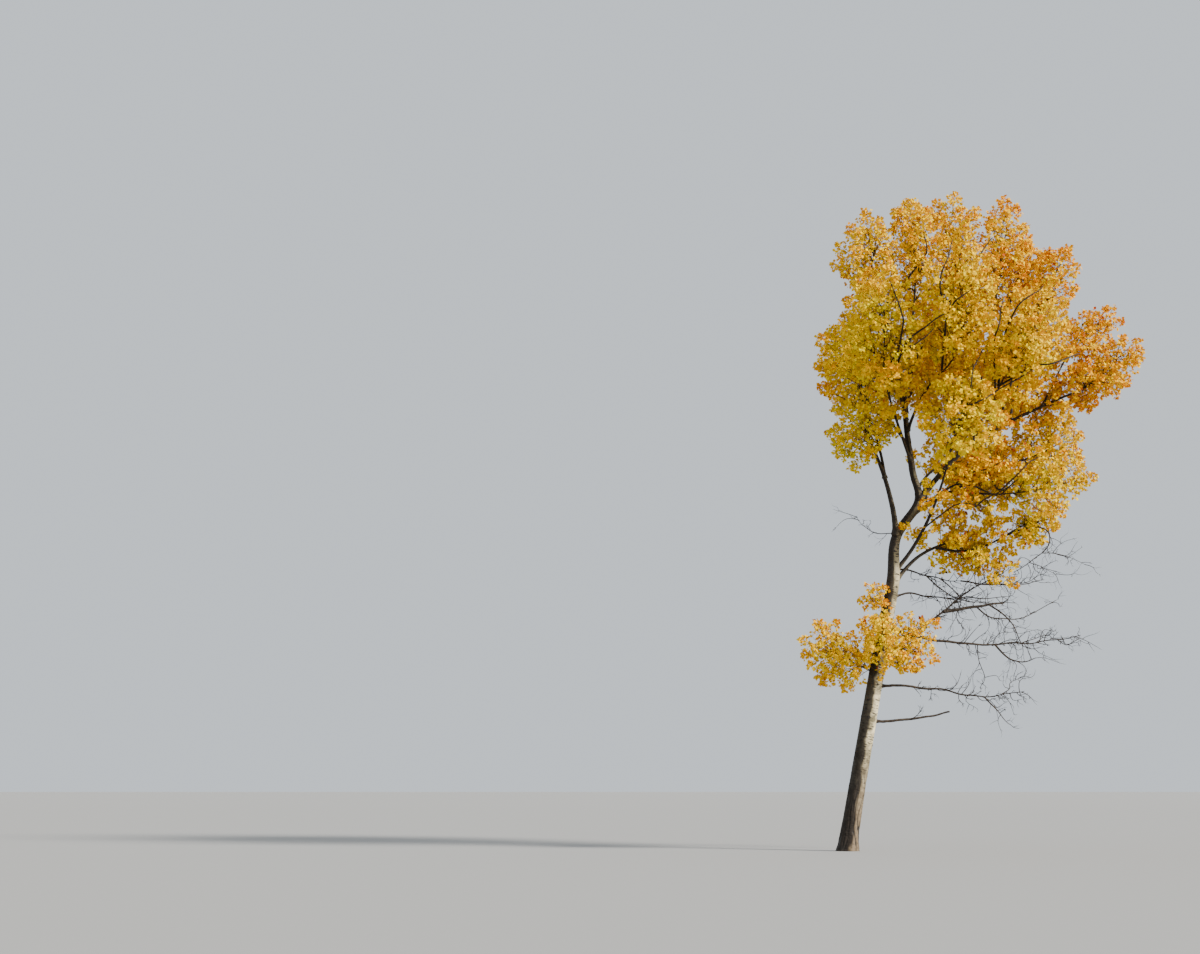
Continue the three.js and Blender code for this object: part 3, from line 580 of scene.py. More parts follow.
DEAD_BRANCHES = (
    # name, limb, share along it, girth, places that the branch runs through
    ("top_end", "dead_bough_top", 1.0, 0.022, ((3.9, 0.37, 6.74), (4.54, 0.42, 6.74), (5.4, 0.5, 6.88))),
    ("top_fork", "top_end", 0.55, 0.014, ((4.91, 0.5, 6.84), (5.35, 0.6, 7.05))),
    ("upper_end", "dead_bough_upper", 1.0, 0.02, ((3.6, 0.05, 6.36), (4.29, -0.1, 6.38))),
    ("first_cross", "dead_bough_top", 0.54, 0.02, ((2.54, 0.28, 6.67), (2.86, 0.35, 6.48),
      (3.27, 0.42, 6.32), (3.74, 0.5, 6.29))),
    ("second_cross", "dead_bough_top", 0.72, 0.018, ((2.94, -0.12, 6.48), (3.06, -0.05, 6.21),
      (2.95, 0.03, 5.87), (3.12, 0.1, 5.6))),
    ("flat_fork", "dead_bough_tufted", 0.5, 0.05, ((3.24, 0.05, 6.1), (3.91, 0.25, 6.22),
      (4.29, 0.35, 6.28))),
    ("reaching_fork", "flat_fork", 0.45, 0.024, ((3.82, 0.38, 5.93), (4.17, 0.46, 5.85),
      (4.77, 0.54, 5.92), (5.76, 0.7, 6.4))),
    ("falling_fork", "flat_fork", 0.62, 0.026, ((4.13, 0.25, 6.01), (4.39, 0.3, 5.73),
      (4.56, 0.35, 5.39), (4.76, 0.4, 5.12))),
    ("long_fork", "dead_bough_long", 0.56, 0.028, ((4.15, 0.0, 4.88), (4.34, -0.1, 4.74),
      (4.65, -0.2, 4.7), (4.87, -0.3, 4.81))),
    ("long_riser", "dead_bough_long", 0.7, 0.016, ((4.93, 0.37, 5.34), (5.42, 0.5, 5.45))),
    ("long_end", "dead_bough_long", 0.88, 0.014, ((5.79, 0.22, 5.18), (6.05, 0.1, 5.29))),
    ("long_faller", "dead_bough_long", 0.47, 0.014, ((3.55, 0.33, 4.77), (3.72, 0.47, 4.32),
      (3.59, 0.6, 4.08))),
    ("lower_faller", "dead_bough_lower", 0.73, 0.022, ((3.75, -0.3, 3.56), (3.91, -0.4, 3.36),
      (4.1, -0.5, 3.11))),
    ("lower_riser", "dead_bough_lower", 0.84, 0.016, ((4.2, -0.1, 4.01), (4.27, 0.0, 4.18),
      (4.6, 0.1, 4.36))),
    ("hanging_twig", "sweeping_bough", 0.97, 0.024, ((4.75, -0.3, 8.12), (5.25, -0.28, 8.08),
      (5.35, -0.22, 7.8), (5.18, -0.15, 7.5), (4.84, -0.1, 7.25), (4.43, 0.0, 7.01))),
    ("hanging_end", "hanging_twig", 0.67, 0.014, ((5.51, 0.03, 7.5), (5.88, 0.17, 7.43),
      (6.38, 0.3, 7.25))),
    ("hanging_fork", "hanging_twig", 0.83, 0.012, ((5.14, -0.25, 7.12), (5.5, -0.4, 6.9))),
    ("left_twig", "left_stem", 0.05, 0.014, ((0.93, -0.2, 8.01), (0.58, -0.3, 8.2), (0.38, -0.4, 8.44))),
)
DEAD_SIDES = 10
DEAD_SWELL = 0.16               # in radii, as the depth of the cracks
DEAD_SWELL_SCALE = (14, 14, 8)
DRY_CRACK_DEPTH = 0.14
DRY_CRACKS = ((40, 40, 5), 0.15)               # scale on each axis, and width
BARE_UNDER = (0.012, 0.034)     # the radius under which the bark has come off
BARE_TWIG_UNDER = (0.008, 0.022)
CROOKEDNESS = 0.030             # how far a limb strays from its smooth line
STRAY_SCALE = (1.7, 1.7, 1.7)
STRAY_WAYS = (1, 1, 1.6)        # the strays along each axis, of which the upright one is largest
COURSE_STEP = 0.02              # the share of a limb over which its direction is taken
COURSE_POINTS = 12              # to measure a limb by
SPUR_PLACES = (0.35, 0.95)      # the shares along a bough between which its spurs stand
SPUR_LEANS = (0.6, 0.5)         # of this and the other pairs of this kind, a draw adds up to the
SPUR_LENGTHS = (0.5, 0.5)       # second number to the first
SPUR_LENGTH = 0.62
SPUR_GIRTH = 0.022
SPUR_FORKS = 4
FINE_TWIGS_PER_METRE = 9.0
FINE_TWIG_LEANS = (0.5, 0.8)
SHORTEST_FINE_TWIG = 0.22
LONGEST_FINE_TWIG = 0.95
LENGTH_POWER = 1.5              # above 1, so that most of them are short
BOUGH_TWIGS_FROM = 0.25
BOUGH_TWIG_GIRTH = 0.022
BRANCH_TWIGS_FROM = 0.15
BRANCH_TWIG_GIRTH = 0.017
BRANCH_TAPER = 0.65
THICK_BRANCH = 0.03             # from this girth on, a branch has 7 sides in place of 5
TWIG_RING_STEP = 0.08
TWIG_BOW = 0.17
TWIG_LIFT = 0.22
SAGGING_SHARE = 0.3             # of the twigs sag, and the others rise
TWIG_SWINGS = (1.0, 1.1)        # in half waves along a twig
TWIG_TAPER = 0.7
THICK_TWIG = 0.012              # from this girth on, a twig has 4 sides in place of 3
FORK_PLACES = (0.25, 0.65)
FORK_LEANS = (0.5, 0.5)
FORK_LENGTHS = (0.45, 0.45)
FORK_END = 1.15                 # the share of a twig at which its forks would have no length
FORK_GIRTH = 0.62               # in girths of the twig that it forks from
SHORTEST_FORK = 0.08


def random_from(seed):
    """Repeatable numbers from 0 to 1."""
    state = seed
    while True:
        state = (state * 1664525 + 1013904223) % 2**32
        yield state / 2**32


def drawn(draw, limits):
    """A random value: the first of a pair of limits, and up to the second added to it."""
    least, spread = limits
    return least + spread * next(draw)


def any_turn(draw):
    return next(draw) * 2 * math.pi


def turned_from(axis, lean, turn):
    """A direction turned away from axis by lean, at turn around it."""
    across = unit(np.cross(FIRST_ACROSS, axis))
    other = np.cross(axis, across)
    return unit(axis * math.cos(lean) + across * (math.sin(lean) * math.cos(turn))
                + other * (math.sin(lean) * math.sin(turn)))


def on_course(name, share):
    """The place at a share along a limb, and the direction that the limb has there."""
    before, after = max(share - COURSE_STEP, 0), min(share + COURSE_STEP, 1)
    near = courses[name](np.array((before, share, after)))
    return near[1], unit(near[2] - near[0])


def along_limb(name, first, last, count, draw):
    """As many places along a limb, one in each even stretch, with the limb's direction there."""
    for k in range(count):
        yield on_course(name, first + (last - first) * (k + next(draw)) / count)


def limb_length(name, first, last):
    course = courses[name](np.linspace(first, last, COURSE_POINTS))
    return np.linalg.norm(np.diff(course, axis=0), axis=1).sum()


def crooked(line, shares):
    """Lets a limb stray more and more towards its thin end, and back at its tip."""
    stray = np.stack([noise_at(line + 3 * k, STRAY_SCALE) for k in range(3)], 1)
    most = CROOKEDNESS * 4 * shares * (1 - shares) ** 0.5
    return line + stray * most[:, None] * STRAY_WAYS


def set_branch(name, limb, where, places, rings_per_place):
    """Sets a thin limb that runs from a share along another one through places. Returns its
    crooked middle points and their shares."""
    places = np.array((on_course(limb, where)[0], *places))
    courses[name] = lambda shares: through_points(places, shares * (len(places) - 1))
    shares = np.linspace(0, 1, rings_per_place * len(places))
    return crooked(courses[name](shares), shares), shares


def dead_relief(rings):
    swell = DEAD_SWELL * noise_at(rings.place, DEAD_SWELL_SCALE)
    return rings.radius * (swell - DRY_CRACK_DEPTH * cracks_at(rings.place, *DRY_CRACKS))


def dead_marks(rings):
    """Mask: bare where the bark has come off the thin wood."""
    return {"bare": 1 - smooth_step(*BARE_UNDER, rings.radius)}


def pointed_faces(rings, sides):
    """The faces of a tube whose last ring is one point."""
    top, tip = (rings - 2) * sides, (rings - 1) * sides
    fan = [(top + k, top + (k + 1) % sides, tip) for k in range(sides)]
    return tube_faces(rings - 1, sides) + fan


def thin_tube(line, radius, sides, **masks):
    """A fine twig as a tube of few sides that closes to a point, with even masks."""
    rings = rings_round(line[:-1], radius[:-1], sides)
    points = line[:-1, None] + rings.outward * radius[:-1, None, None]
    points = np.concatenate((points.reshape(-1, 3), line[-1:]))
    return {
        "points": points,
        "faces": pointed_faces(len(line), sides),
        "place": np.concatenate((rings.place.reshape(-1, 3), rings.place[-1:, 0])),
        "masks": {mask: np.full(len(points), value) for mask, value in masks.items()},
    }


def bare_tube(line, radius, sides):
    return thin_tube(line, radius, sides, bare=1 - smooth_step(*BARE_TWIG_UNDER, radius[0]))


def bare_twig(draw, start, direction, length, girth, forks):
    """A bare twig that curves up a little and forks into thinner ones."""
    shares = np.linspace(0, 1, max(int(length / TWIG_RING_STEP), 4))
    bow = turned_from(direction, math.pi / 2, any_turn(draw))
    lift = TWIG_LIFT * length * (next(draw) - SAGGING_SHARE)
    swing = drawn(draw, TWIG_SWINGS)
    line = (start + direction * (length * shares)[:, None]
            + bow * (TWIG_BOW * length * np.sin(math.pi * shares * swing))[:, None]
            + UP * (lift * shares ** 2)[:, None])
    sides = 4 if girth > THICK_TWIG else 3
    parts = [bare_tube(line, girth / 2 * (1 - TWIG_TAPER * shares), sides)]
    for _ in range(forks):
        share = drawn(draw, FORK_PLACES)
        way = turned_from(direction, drawn(draw, FORK_LEANS), any_turn(draw))
        reach = length * drawn(draw, FORK_LENGTHS) * (FORK_END - share)
        parts += bare_twig(draw, at_share(line, share), way, max(reach, SHORTEST_FORK),
                           girth * FORK_GIRTH, forks - 2 if forks > 2 else 0)
    return parts


def fine_twigs_on(name, first_share, girth, seed):
    """Fine bare twigs on all sides of a dead limb, more crooked than stiff."""
    wanted = int(limb_length(name, 0, 1) * (1 - first_share) * FINE_TWIGS_PER_METRE)
    draw = random_from(seed)
    parts = []
    for root, heading in along_limb(name, first_share, 1, wanted, draw):
        way = turned_from(heading, drawn(draw, FINE_TWIG_LEANS), any_turn(draw))
        longer = LONGEST_FINE_TWIG - SHORTEST_FINE_TWIG
        reach = SHORTEST_FINE_TWIG + longer * next(draw) ** LENGTH_POWER
        parts += bare_twig(draw, root, way, reach, girth, 2)
    return parts


DEAD_BARK = (0.028, 0.019, 0.013, 1)
DEAD_GREY = (0.084, 0.063, 0.044, 1)
BARE_WOOD = (0.026, 0.017, 0.011, 1)
DEAD_CRACK = (0.014, 0.010, 0.008, 1)
dead_wood = new_bark(
    "dead_wood", DEAD_BARK,
    (("Patches", DEAD_GREY), ("bare", BARE_WOOD), ("Dashes", DEAD_CRACK)),
    patch_scale=9.0, dash_scale=22.0, dash_stretch=(1.6, 1.6, 0.35),
    roughness=(0.74, 0.92), bump_depth=0.003,
)

dead_parts = []
for k, (name, parent, where, tip, *bends, spurs) in enumerate(DEAD_BOUGHS):
    curve = set_bough(name, parent, where, tip, *bends)
    courses[name] = lambda shares, curve=curve: crooked(curve(shares)[0], shares)
    dead_parts.append(bough_part(curve, parent, DEAD_SIDES, dead_relief, dead_marks, crooked))
    draw = random_from(round(tip[0] * 1000))
    for root, heading in along_limb(name, *SPUR_PLACES, spurs, draw):
        way = turned_from(heading, drawn(draw, SPUR_LEANS), any_turn(draw))
        length = SPUR_LENGTH * drawn(draw, SPUR_LENGTHS)
        dead_parts += bare_twig(draw, root, way, length, SPUR_GIRTH, SPUR_FORKS)
    if spurs > 1:
        dead_parts += fine_twigs_on(name, BOUGH_TWIGS_FROM, BOUGH_TWIG_GIRTH, 40 + k)
for k, (name, limb, where, girth, places) in enumerate(DEAD_BRANCHES):
    line, shares = set_branch(name, limb, where, places, 5)
    sides = 7 if girth > THICK_BRANCH else 5
    dead_parts.append(bare_tube(line, girth * (1 - BRANCH_TAPER * shares), sides))
    dead_parts += fine_twigs_on(name, BRANCH_TWIGS_FROM, BRANCH_TWIG_GIRTH, 60 + k)
make_piece("dead_boughs", dead_parts, dead_wood, [row[0] for row in DEAD_BOUGHS])


# Twigs. The wood of the leaf masses, in the boughs' bark, and plain brown where it is finest. Its
# stems, side twigs and branchlets grow by the rule of the solids, each mass in its own space. More
# branchlets fill the room or stand on boughs, and thin limbs cross the face of the leaves.
MASSES = (
    # name, limb or height on the trunk, tip, half-width, sprays, ripeness of the leaves
    ("leader_foliage", "trunk", (2.2, 0.0, 16.98), 1.3, 19, 0.56),
    ("top_left_foliage", "top_left_bough", (0.9, -0.25, 16.5), 1.15, 18, 0.52),
    ("left_foliage", "left_bough", (0.42, 0.45, 14.0), 1.2, 15, 0.42),
    ("low_left_foliage", "left_stem", (0.33, -0.35, 11.6), 1.05, 14, 0.4),
    ("front_left_foliage", "front_left_bough", (0.98, -2.75, 14.3), 1.4, 18, 0.44),
    ("back_left_foliage", "back_left_bough", (0.98, 2.8, 14.4), 1.4, 18, 0.44),
    ("front_middle_foliage", "front_middle_bough", (2.75, -3.25, 15.0), 1.5, 19, 0.5),
    ("back_middle_foliage", "back_middle_bough", (2.7, 3.25, 15.1), 1.5, 19, 0.5),
    ("top_foliage", "top_bough", (3.23, 0.3, 17.15), 1.15, 19, 0.6),
    ("middle_arm_foliage", "upper_right_bough", (7.88, -0.35, 13.05), 0.68, 13, 0.68),
    ("upper_arm_foliage", "arm_bough", (7.48, 0.3, 13.98), 0.68, 13, 0.66),
    ("lower_arm_foliage", "low_arm_bough", (7.98, 0.62, 12.62), 0.56, 11, 0.66),
    ("middle_right_foliage", "middle_right_bough", (5.72, 0.38, 14.3), 1.2, 15, 0.56),
    ("spire_foliage", "spire_bough", (6.12, -0.42, 15.62), 0.7, 15, 0.64),
    ("high_right_foliage", "high_right_bough", (5.36, 0.65, 16.08), 1.15, 17, 0.6),
    ("top_right_foliage", "top_right_bough", (4.5, -0.45, 16.75), 0.88, 17, 0.62),
    ("inner_foliage", "inner_bough", (3.5, -0.25, 14.35), 1.3, 15, 0.5),
    ("front_right_foliage", "front_right_bough", (4.85, -3.05, 13.7), 1.38, 21, 0.52),
    ("back_right_foliage", "back_right_bough", (5.2, 3.05, 13.9), 1.5, 21, 0.52),
    ("right_foliage", "outer_right_bough", (6.5, 0.35, 10.7), 1.02, 17, 0.56),
    ("lower_right_foliage", "lower_right_bough", (6.33, -0.65, 9.3), 1.0, 20, 0.5),
    ("back_low_foliage", "back_low_bough", (5.0, 3.05, 10.85), 1.25, 18, 0.48),
    ("front_low_foliage", "front_low_bough", (3.05, -3.05, 11.45), 1.25, 18, 0.5),
    ("low_foliage", "low_bough", (3.3, 0.98, 7.15), 0.78, 9, 0.52),
    ("sweeping_foliage", "sweeping_bough", (5.78, -0.25, 8.82), 0.68, 14, 0.5),
    ("left_trunk_foliage", 4.42, (-1.05, -0.25, 5.3), 0.88, 14, 0.6),
    ("right_trunk_foliage", 4.65, (2.38, -0.35, 5.6), 0.8, 12, 0.6),
    ("front_trunk_foliage", 4.85, (0.8, -1.5, 5.5), 0.7, 9, 0.56),
    ("trunk_tuft", 5.95, (0.64, -0.25, 6.65), 0.42, 5, 0.64),
)
CLEARANCE = 0.0003              # between a bough's tip and the stem of its mass
STEM_PIECES = 3
TWIG_GIRTH = 0.032
SPRAYS_PER_TWIG = 3
EGG_CENTRE = 0.50               # of a mass's egg-shaped space, as a share of its line
EGG_HALF_LENGTH = 0.57
SPRAY_LENGTH = 1.12
SPRAY_BREADTH = 0.8
SPRAY_WIDEST = 0.45
FULL_SIZE_WIDTH = 1.0           # a mass less wide than this has smaller sprays
SPRAY_LENGTHS = (0.88, 0.24)
SPRAY_TILTS = (0.7, 0.6)
SPRAY_GAP = 0.065               # between the sprays of one mass
WOOD_GAP = 0.042                # between a spray and the twigs that it doesn't grow from
SPRAY_ROOM = 0.045              # between a spray and a limb
TWIG_ROOM = 0.020
SPACE_MARGIN = 0.05             # kept free between two spaces, as a share of the half-width
REACH_STEP = 0.04
REACH_STEPS = 150
REACH_DEPTH = 0.99              # of a space, at which a way in it ends
TRIES = 18
SHRINK = 0.025                  # of a spray at each new try
BEND_PLACE = 0.33               # of a stem, as a share of its mass's line
STEM_SHORT = 0.8                # how far from its mass's tip a stem ends, in lengths of a spray
TWIGS_ALONG = (0.1, 0.82)       # the first share of a stem that has twigs, and how far they go on
TWIG_LEAN = 1.2                 # at a stem's foot
LEAN_LOSS = 0.5                 # of it up to the stem's top
LEAN_SPREAD = 0.3
TURN_SPREAD = 0.25              # at each new try
TWIG_RISE = 0.12
TWIG_LOSS = 0.06                # of its reach at each new try
SHORTEST_TWIG = 0.25            # in lengths of a spray
TOP_SPRAY_PLACE = 0.98          # the spray that ends the stem
TOP_SPRAY_LEAN = 0.1
SIDE_SPRAY_SHIFT = 0.12         # the sprays on both sides of a twig
SIDE_SPRAY_LEAN = 0.9
SIDE_SPRAY_SIZE = 0.92

limb_from = np.concatenate([line[:-1] for line, _ in coarse.values()])
limb_to = np.concatenate([line[1:] for line, _ in coarse.values()])
limb_radius = np.concatenate([np.maximum(r[:-1], r[1:]) for _, r in coarse.values()])


def foot_of(where, tip):
    """Where a mass's stem starts, and the direction that it starts in."""
    if isinstance(where, float):
        foot = at_height(coarse["trunk"][0], where)
        return foot, unit(np.array(tip) - foot)
    line = coarse[where][0]
    heading = unit(line[-1] - line[-2])
    return line[-1] + heading * CLEARANCE, heading


feet = [foot_of(where, tip) for _, where, tip, *_ in MASSES]
mass_tips = np.array([mass[2] for mass in MASSES])
mass_lines = mass_tips - np.array([foot for foot, _ in feet])
space_centre = mass_tips - mass_lines * (1 - EGG_CENTRE)
space_axis = unit(mass_lines)
space_length = np.linalg.norm(mass_lines, axis=1) * EGG_HALF_LENGTH
space_width = np.array([mass[3] for mass in MASSES])
spray_size = np.clip(space_width / FULL_SIZE_WIDTH, 0.5, 1)


def depths(points):
    """How deep each point lies in each space: 0 in its middle, 1 on its skin."""
    offset = points[:, None] - space_centre
    lengthwise = (offset * space_axis).sum(-1)
    crosswise = np.sqrt(np.maximum((offset**2).sum(-1) - lengthwise**2, 0))
    return np.hypot(lengthwise / space_length, crosswise / space_width)


def in_own_space(k, points, skin_depth=1.0, margin=SPACE_MARGIN):
    found = depths(points)
    own = found[:, k].copy()
    found[:, k] = np.inf
    return ((own <= skin_depth) & (found.min(1) > own + margin)).all()


def distance_to(starts, ends, points):
    """The distance from each point to each straight piece."""
    line = ends - starts
    offset = points[:, None] - starts
    share = np.clip((offset * line).sum(-1) / (line**2).sum(-1), 0, 1)
    return np.linalg.norm(offset - share[..., None] * line, axis=-1)


def clear_of_limbs(points, room):
    return (distance_to(limb_from, limb_to, points) > limb_radius + room).all()


def reach_in_space(k, start, direction):
    """How far a straight way from start stays in the space of a mass."""
    ways = start + direction * (np.arange(1, REACH_STEPS + 1) * REACH_STEP)[:, None]
    outside = depths(ways)[:, k] >= REACH_DEPTH
    return REACH_STEP * (int(np.argmax(outside)) if outside.any() else len(ways))


def spray_width_at(share):
    """A spray's width at a share along it: 1 where it is widest, and 0 at both ends."""
    return np.minimum(share / SPRAY_WIDEST, (1 - share) / (1 - SPRAY_WIDEST))


def spray_points(root, direction, normal, length):
    side = np.cross(normal, direction)
    share = np.arange(1, 7) / 6
    half = length * SPRAY_BREADTH / 2 * spray_width_at(share)
    across = (half[:, None] * np.arange(-2, 3) / 2)[..., None] * side
    return (root + direction * (length * share)[:, None, None] + across).reshape(-1, 3)


def grow_mass(k):
    """Grows a mass by the rule of the solids. Returns its stem's curve, its twigs and sprays."""
    sprays_wanted = MASSES[k][4]
    foot, heading = feet[k]
    draw = random_from(k + 1)
    line, line_length = mass_lines[k], np.linalg.norm(mass_lines[k])
    spray_length = SPRAY_LENGTH * spray_size[k]
    bend = foot + heading * (line_length * BEND_PLACE)
    top = foot + line * (1 - STEM_SHORT * spray_length / line_length)

    def stem_point(t):
        return foot * (1 - t) ** 2 + bend * (2 * t * (1 - t)) + top * t**2

    stem = [stem_point(i / STEM_PIECES) for i in range(STEM_PIECES + 1)]
    wood = list(zip(stem[:-1], stem[1:]))
    twigs, sprays = [], []

    def make_spray(root, direction, share):
        normal = turned_from(direction, math.pi / 2, any_turn(draw))
        length = spray_length * share * drawn(draw, SPRAY_LENGTHS)
        return SimpleNamespace(root=root, direction=direction, normal=normal, length=length,
                               points=spray_points(root, direction, normal, length))

    def has_room(spray, own):
        if not (in_own_space(k, spray.points) and clear_of_limbs(spray.points, SPRAY_ROOM)):
            return False
        if sprays:
            others = np.concatenate([other.points for other in sprays])
            apart = np.linalg.norm(spray.points[:, None] - others, axis=-1).min()
            if apart <= SPRAY_GAP * spray_size[k]:
                return False
        near = [piece for i, piece in enumerate(wood) if i != own]
        return (distance_to(*map(np.array, zip(*near)), spray.points) > WOOD_GAP).all()

    twig_count = int(sprays_wanted / SPRAYS_PER_TWIG + 0.5)
    for j in range(twig_count):
        t = TWIGS_ALONG[0] + TWIGS_ALONG[1] * (j + 0.5) / twig_count
        start = stem_point(t)
        for attempt in range(TRIES):
            lean = TWIG_LEAN - LEAN_LOSS * t + LEAN_SPREAD * (next(draw) - 0.5)
            turn = j * GOLDEN_ANGLE + (k + 1) + TURN_SPREAD * attempt * (next(draw) - 0.5)
            direction = unit(turned_from(space_axis[k], lean, turn) + UP * TWIG_RISE)
            reach = reach_in_space(k, start, direction) * (1 - TWIG_LOSS * attempt)
            length = max(reach - spray_length, SHORTEST_TWIG * spray_length)
            end = start + direction * length
            spray = make_spray(end, direction, 1 - SHRINK * attempt)
            on_twig = start + direction * (length * np.arange(1, 6) / 5)[:, None]
            if (in_own_space(k, on_twig) and clear_of_limbs(on_twig, TWIG_ROOM)
                    and has_room(spray, None)):
                twigs.append(SimpleNamespace(start=start, end=end, way=direction, length=length,
                                             spray=spray, piece=len(wood)))
                wood.append((start, end))
                sprays.append(spray)
                break

    def add_spray(root, axis, lean, share, own):
        for attempt in range(TRIES):
            tilt = lean * drawn(draw, SPRAY_TILTS)
            direction = turned_from(axis, tilt, any_turn(draw))
            spray = make_spray(root, direction, share * (1 - SHRINK * attempt))
            if has_room(spray, own):
                sprays.append(spray)
                return

    add_spray(stem_point(TOP_SPRAY_PLACE), space_axis[k], TOP_SPRAY_LEAN, 1, STEM_PIECES - 1)
    for twig in twigs:
        for j in range(1, SPRAYS_PER_TWIG):
            place = j / SPRAYS_PER_TWIG + SIDE_SPRAY_SHIFT
            add_spray(twig.start + twig.way * (twig.length * place), twig.way,
                      SIDE_SPRAY_LEAN, SIDE_SPRAY_SIZE, twig.piece)
    return stem_point, twigs, sprays


FILL_TRIES = 600                # places tried for further branchlets in each mass
FILL_GAP = 0.30                 # least distance between the middles of two branchlets
FILL_MIDDLE = 0.55              # where that middle lies, as a share of the branchlet
FILL_CHECKED = (0.35, 0.6, 0.8, 0.97)           # the shares along it where room is looked for
FILL_FROM = 0.15                # the share of a stem or twig from which they stand on it
FILL_DEPTH = 0.97
FILL_INWARD = 0.35              # how far they may leave their mass towards the tree's middle
FILL_ROOM = 0.05                # least distance to a limb
FILL_LEANS = (0.5, 1.25)
FILL_LENGTHS = (0.62, 1.0)      # in lengths of a spray
FILL_LIFT = 0.18
TREE_MIDDLE = np.array((3.0, 0.0, 13.0))
HIGH_MASS = 11.0                # only masses above this height grow together


def fill_branchlets(k, stem_point, twigs, sprays):
    """More branchlets on the stem and twigs of a mass, wherever there is room between them."""
    random = np.random.default_rng(100 + k)
    middles = [spray.root + spray.direction * (FILL_MIDDLE * spray.length) for spray in sprays]
    inward = unit(TREE_MIDDLE - space_centre[k]) * (space_centre[k, 2] > HIGH_MASS)
    added = []
    for _ in range(FILL_TRIES):
        chosen = random.integers(-2, len(twigs)) if twigs else -1
        along = random.uniform(FILL_FROM, 1.0)
        if chosen < 0:
            root, axis = stem_point(along), space_axis[k]
        else:
            twig = twigs[chosen]
            root, axis = twig.start + (twig.end - twig.start) * along, twig.way
        direction = turned_from(axis, random.uniform(*FILL_LEANS), random.uniform(0, 2 * math.pi))
        direction = unit(direction + UP * FILL_LIFT)
        length = SPRAY_LENGTH * spray_size[k] * random.uniform(*FILL_LENGTHS)
        points = root + direction * (length * np.array(FILL_CHECKED))[:, None]
        middle = root + direction * (FILL_MIDDLE * length)
        apart = np.linalg.norm(np.array(middles) - middle, axis=1).min()
        towards = np.maximum(unit(points - space_centre[k]) @ inward, 0)
        allowed = FILL_DEPTH + FILL_INWARD * towards
        if (apart > FILL_GAP * spray_size[k] and in_own_space(k, points, allowed, 0.0)
                and clear_of_limbs(points, FILL_ROOM)):
            normal = turned_from(direction, math.pi / 2, random.uniform(0, 2 * math.pi))
            added.append((root, direction, normal, length, k))
            middles.append(middle)
    return added


SHOOTS = (
    # limb, shares along it between which the leafy shoots stand, shoots per metre, length
    ("trunk", 0.275, 0.36, 9.0, 0.66),
    ("low_bough", 0.42, 1.0, 8.0, 0.8),
    ("front_low_bough", 0.22, 1.0, 4.5, 0.6),
    ("sweeping_bough", 0.1, 1.0, 8.0, 0.85),
    ("outer_right_bough", 0.2, 1.0, 8.0, 0.85),
    ("lower_right_bough", 0.05, 1.0, 17.0, 0.95),
    ("upper_right_bough", 0.52, 1.0, 7.0, 0.7),
    ("low_arm_bough", 0.1, 1.0, 8.0, 0.7),
    ("arm_bough", 0.2, 1.0, 6.0, 0.5),
    ("middle_right_bough", 0.35, 1.0, 5.0, 0.5),
    ("dead_bough_tufted", 0.84, 1.0, 12.0, 0.5),
    ("front_left_bough", 0.4, 1.0, 6.0, 0.75),
    ("back_left_bough", 0.3, 1.0, 6.0, 0.8),
    ("front_middle_bough", 0.3, 1.0, 6.0, 0.8),
    ("back_middle_bough", 0.3, 1.0, 6.0, 0.8),
    ("front_right_bough", 0.3, 1.0, 6.0, 0.8),
    ("back_right_bough", 0.3, 1.0, 6.0, 0.8),
    ("back_low_bough", 0.35, 1.0, 6.0, 0.8),
)
SHOOT_LEANS = (0.8, 0.6)
SHOOT_LENGTHS = (0.65, 0.5)
SHOOT_LIFT = 0.15


def bough_shoots(limb, first, last, per_metre, length, seed):
    """Leafy shoots straight on a limb, at the golden angle around it and reaching upward."""
    wanted = int(limb_length(limb, first, last) * per_metre + 0.5)
    draw = random_from(seed)
    shoots = []
    for j, (root, heading) in enumerate(along_limb(limb, first, last, wanted, draw)):
        direction = turned_from(heading, drawn(draw, SHOOT_LEANS), j * GOLDEN_ANGLE + seed)
        direction = unit(direction + UP * SHOOT_LIFT)
        normal = turned_from(direction, math.pi / 2, any_turn(draw))
        reach = length * drawn(draw, SHOOT_LENGTHS)
        nearest = int(np.argmin(depths((root + direction * reach)[None])[0]))
        shoots.append((root, direction, normal, reach, nearest))
    return shoots


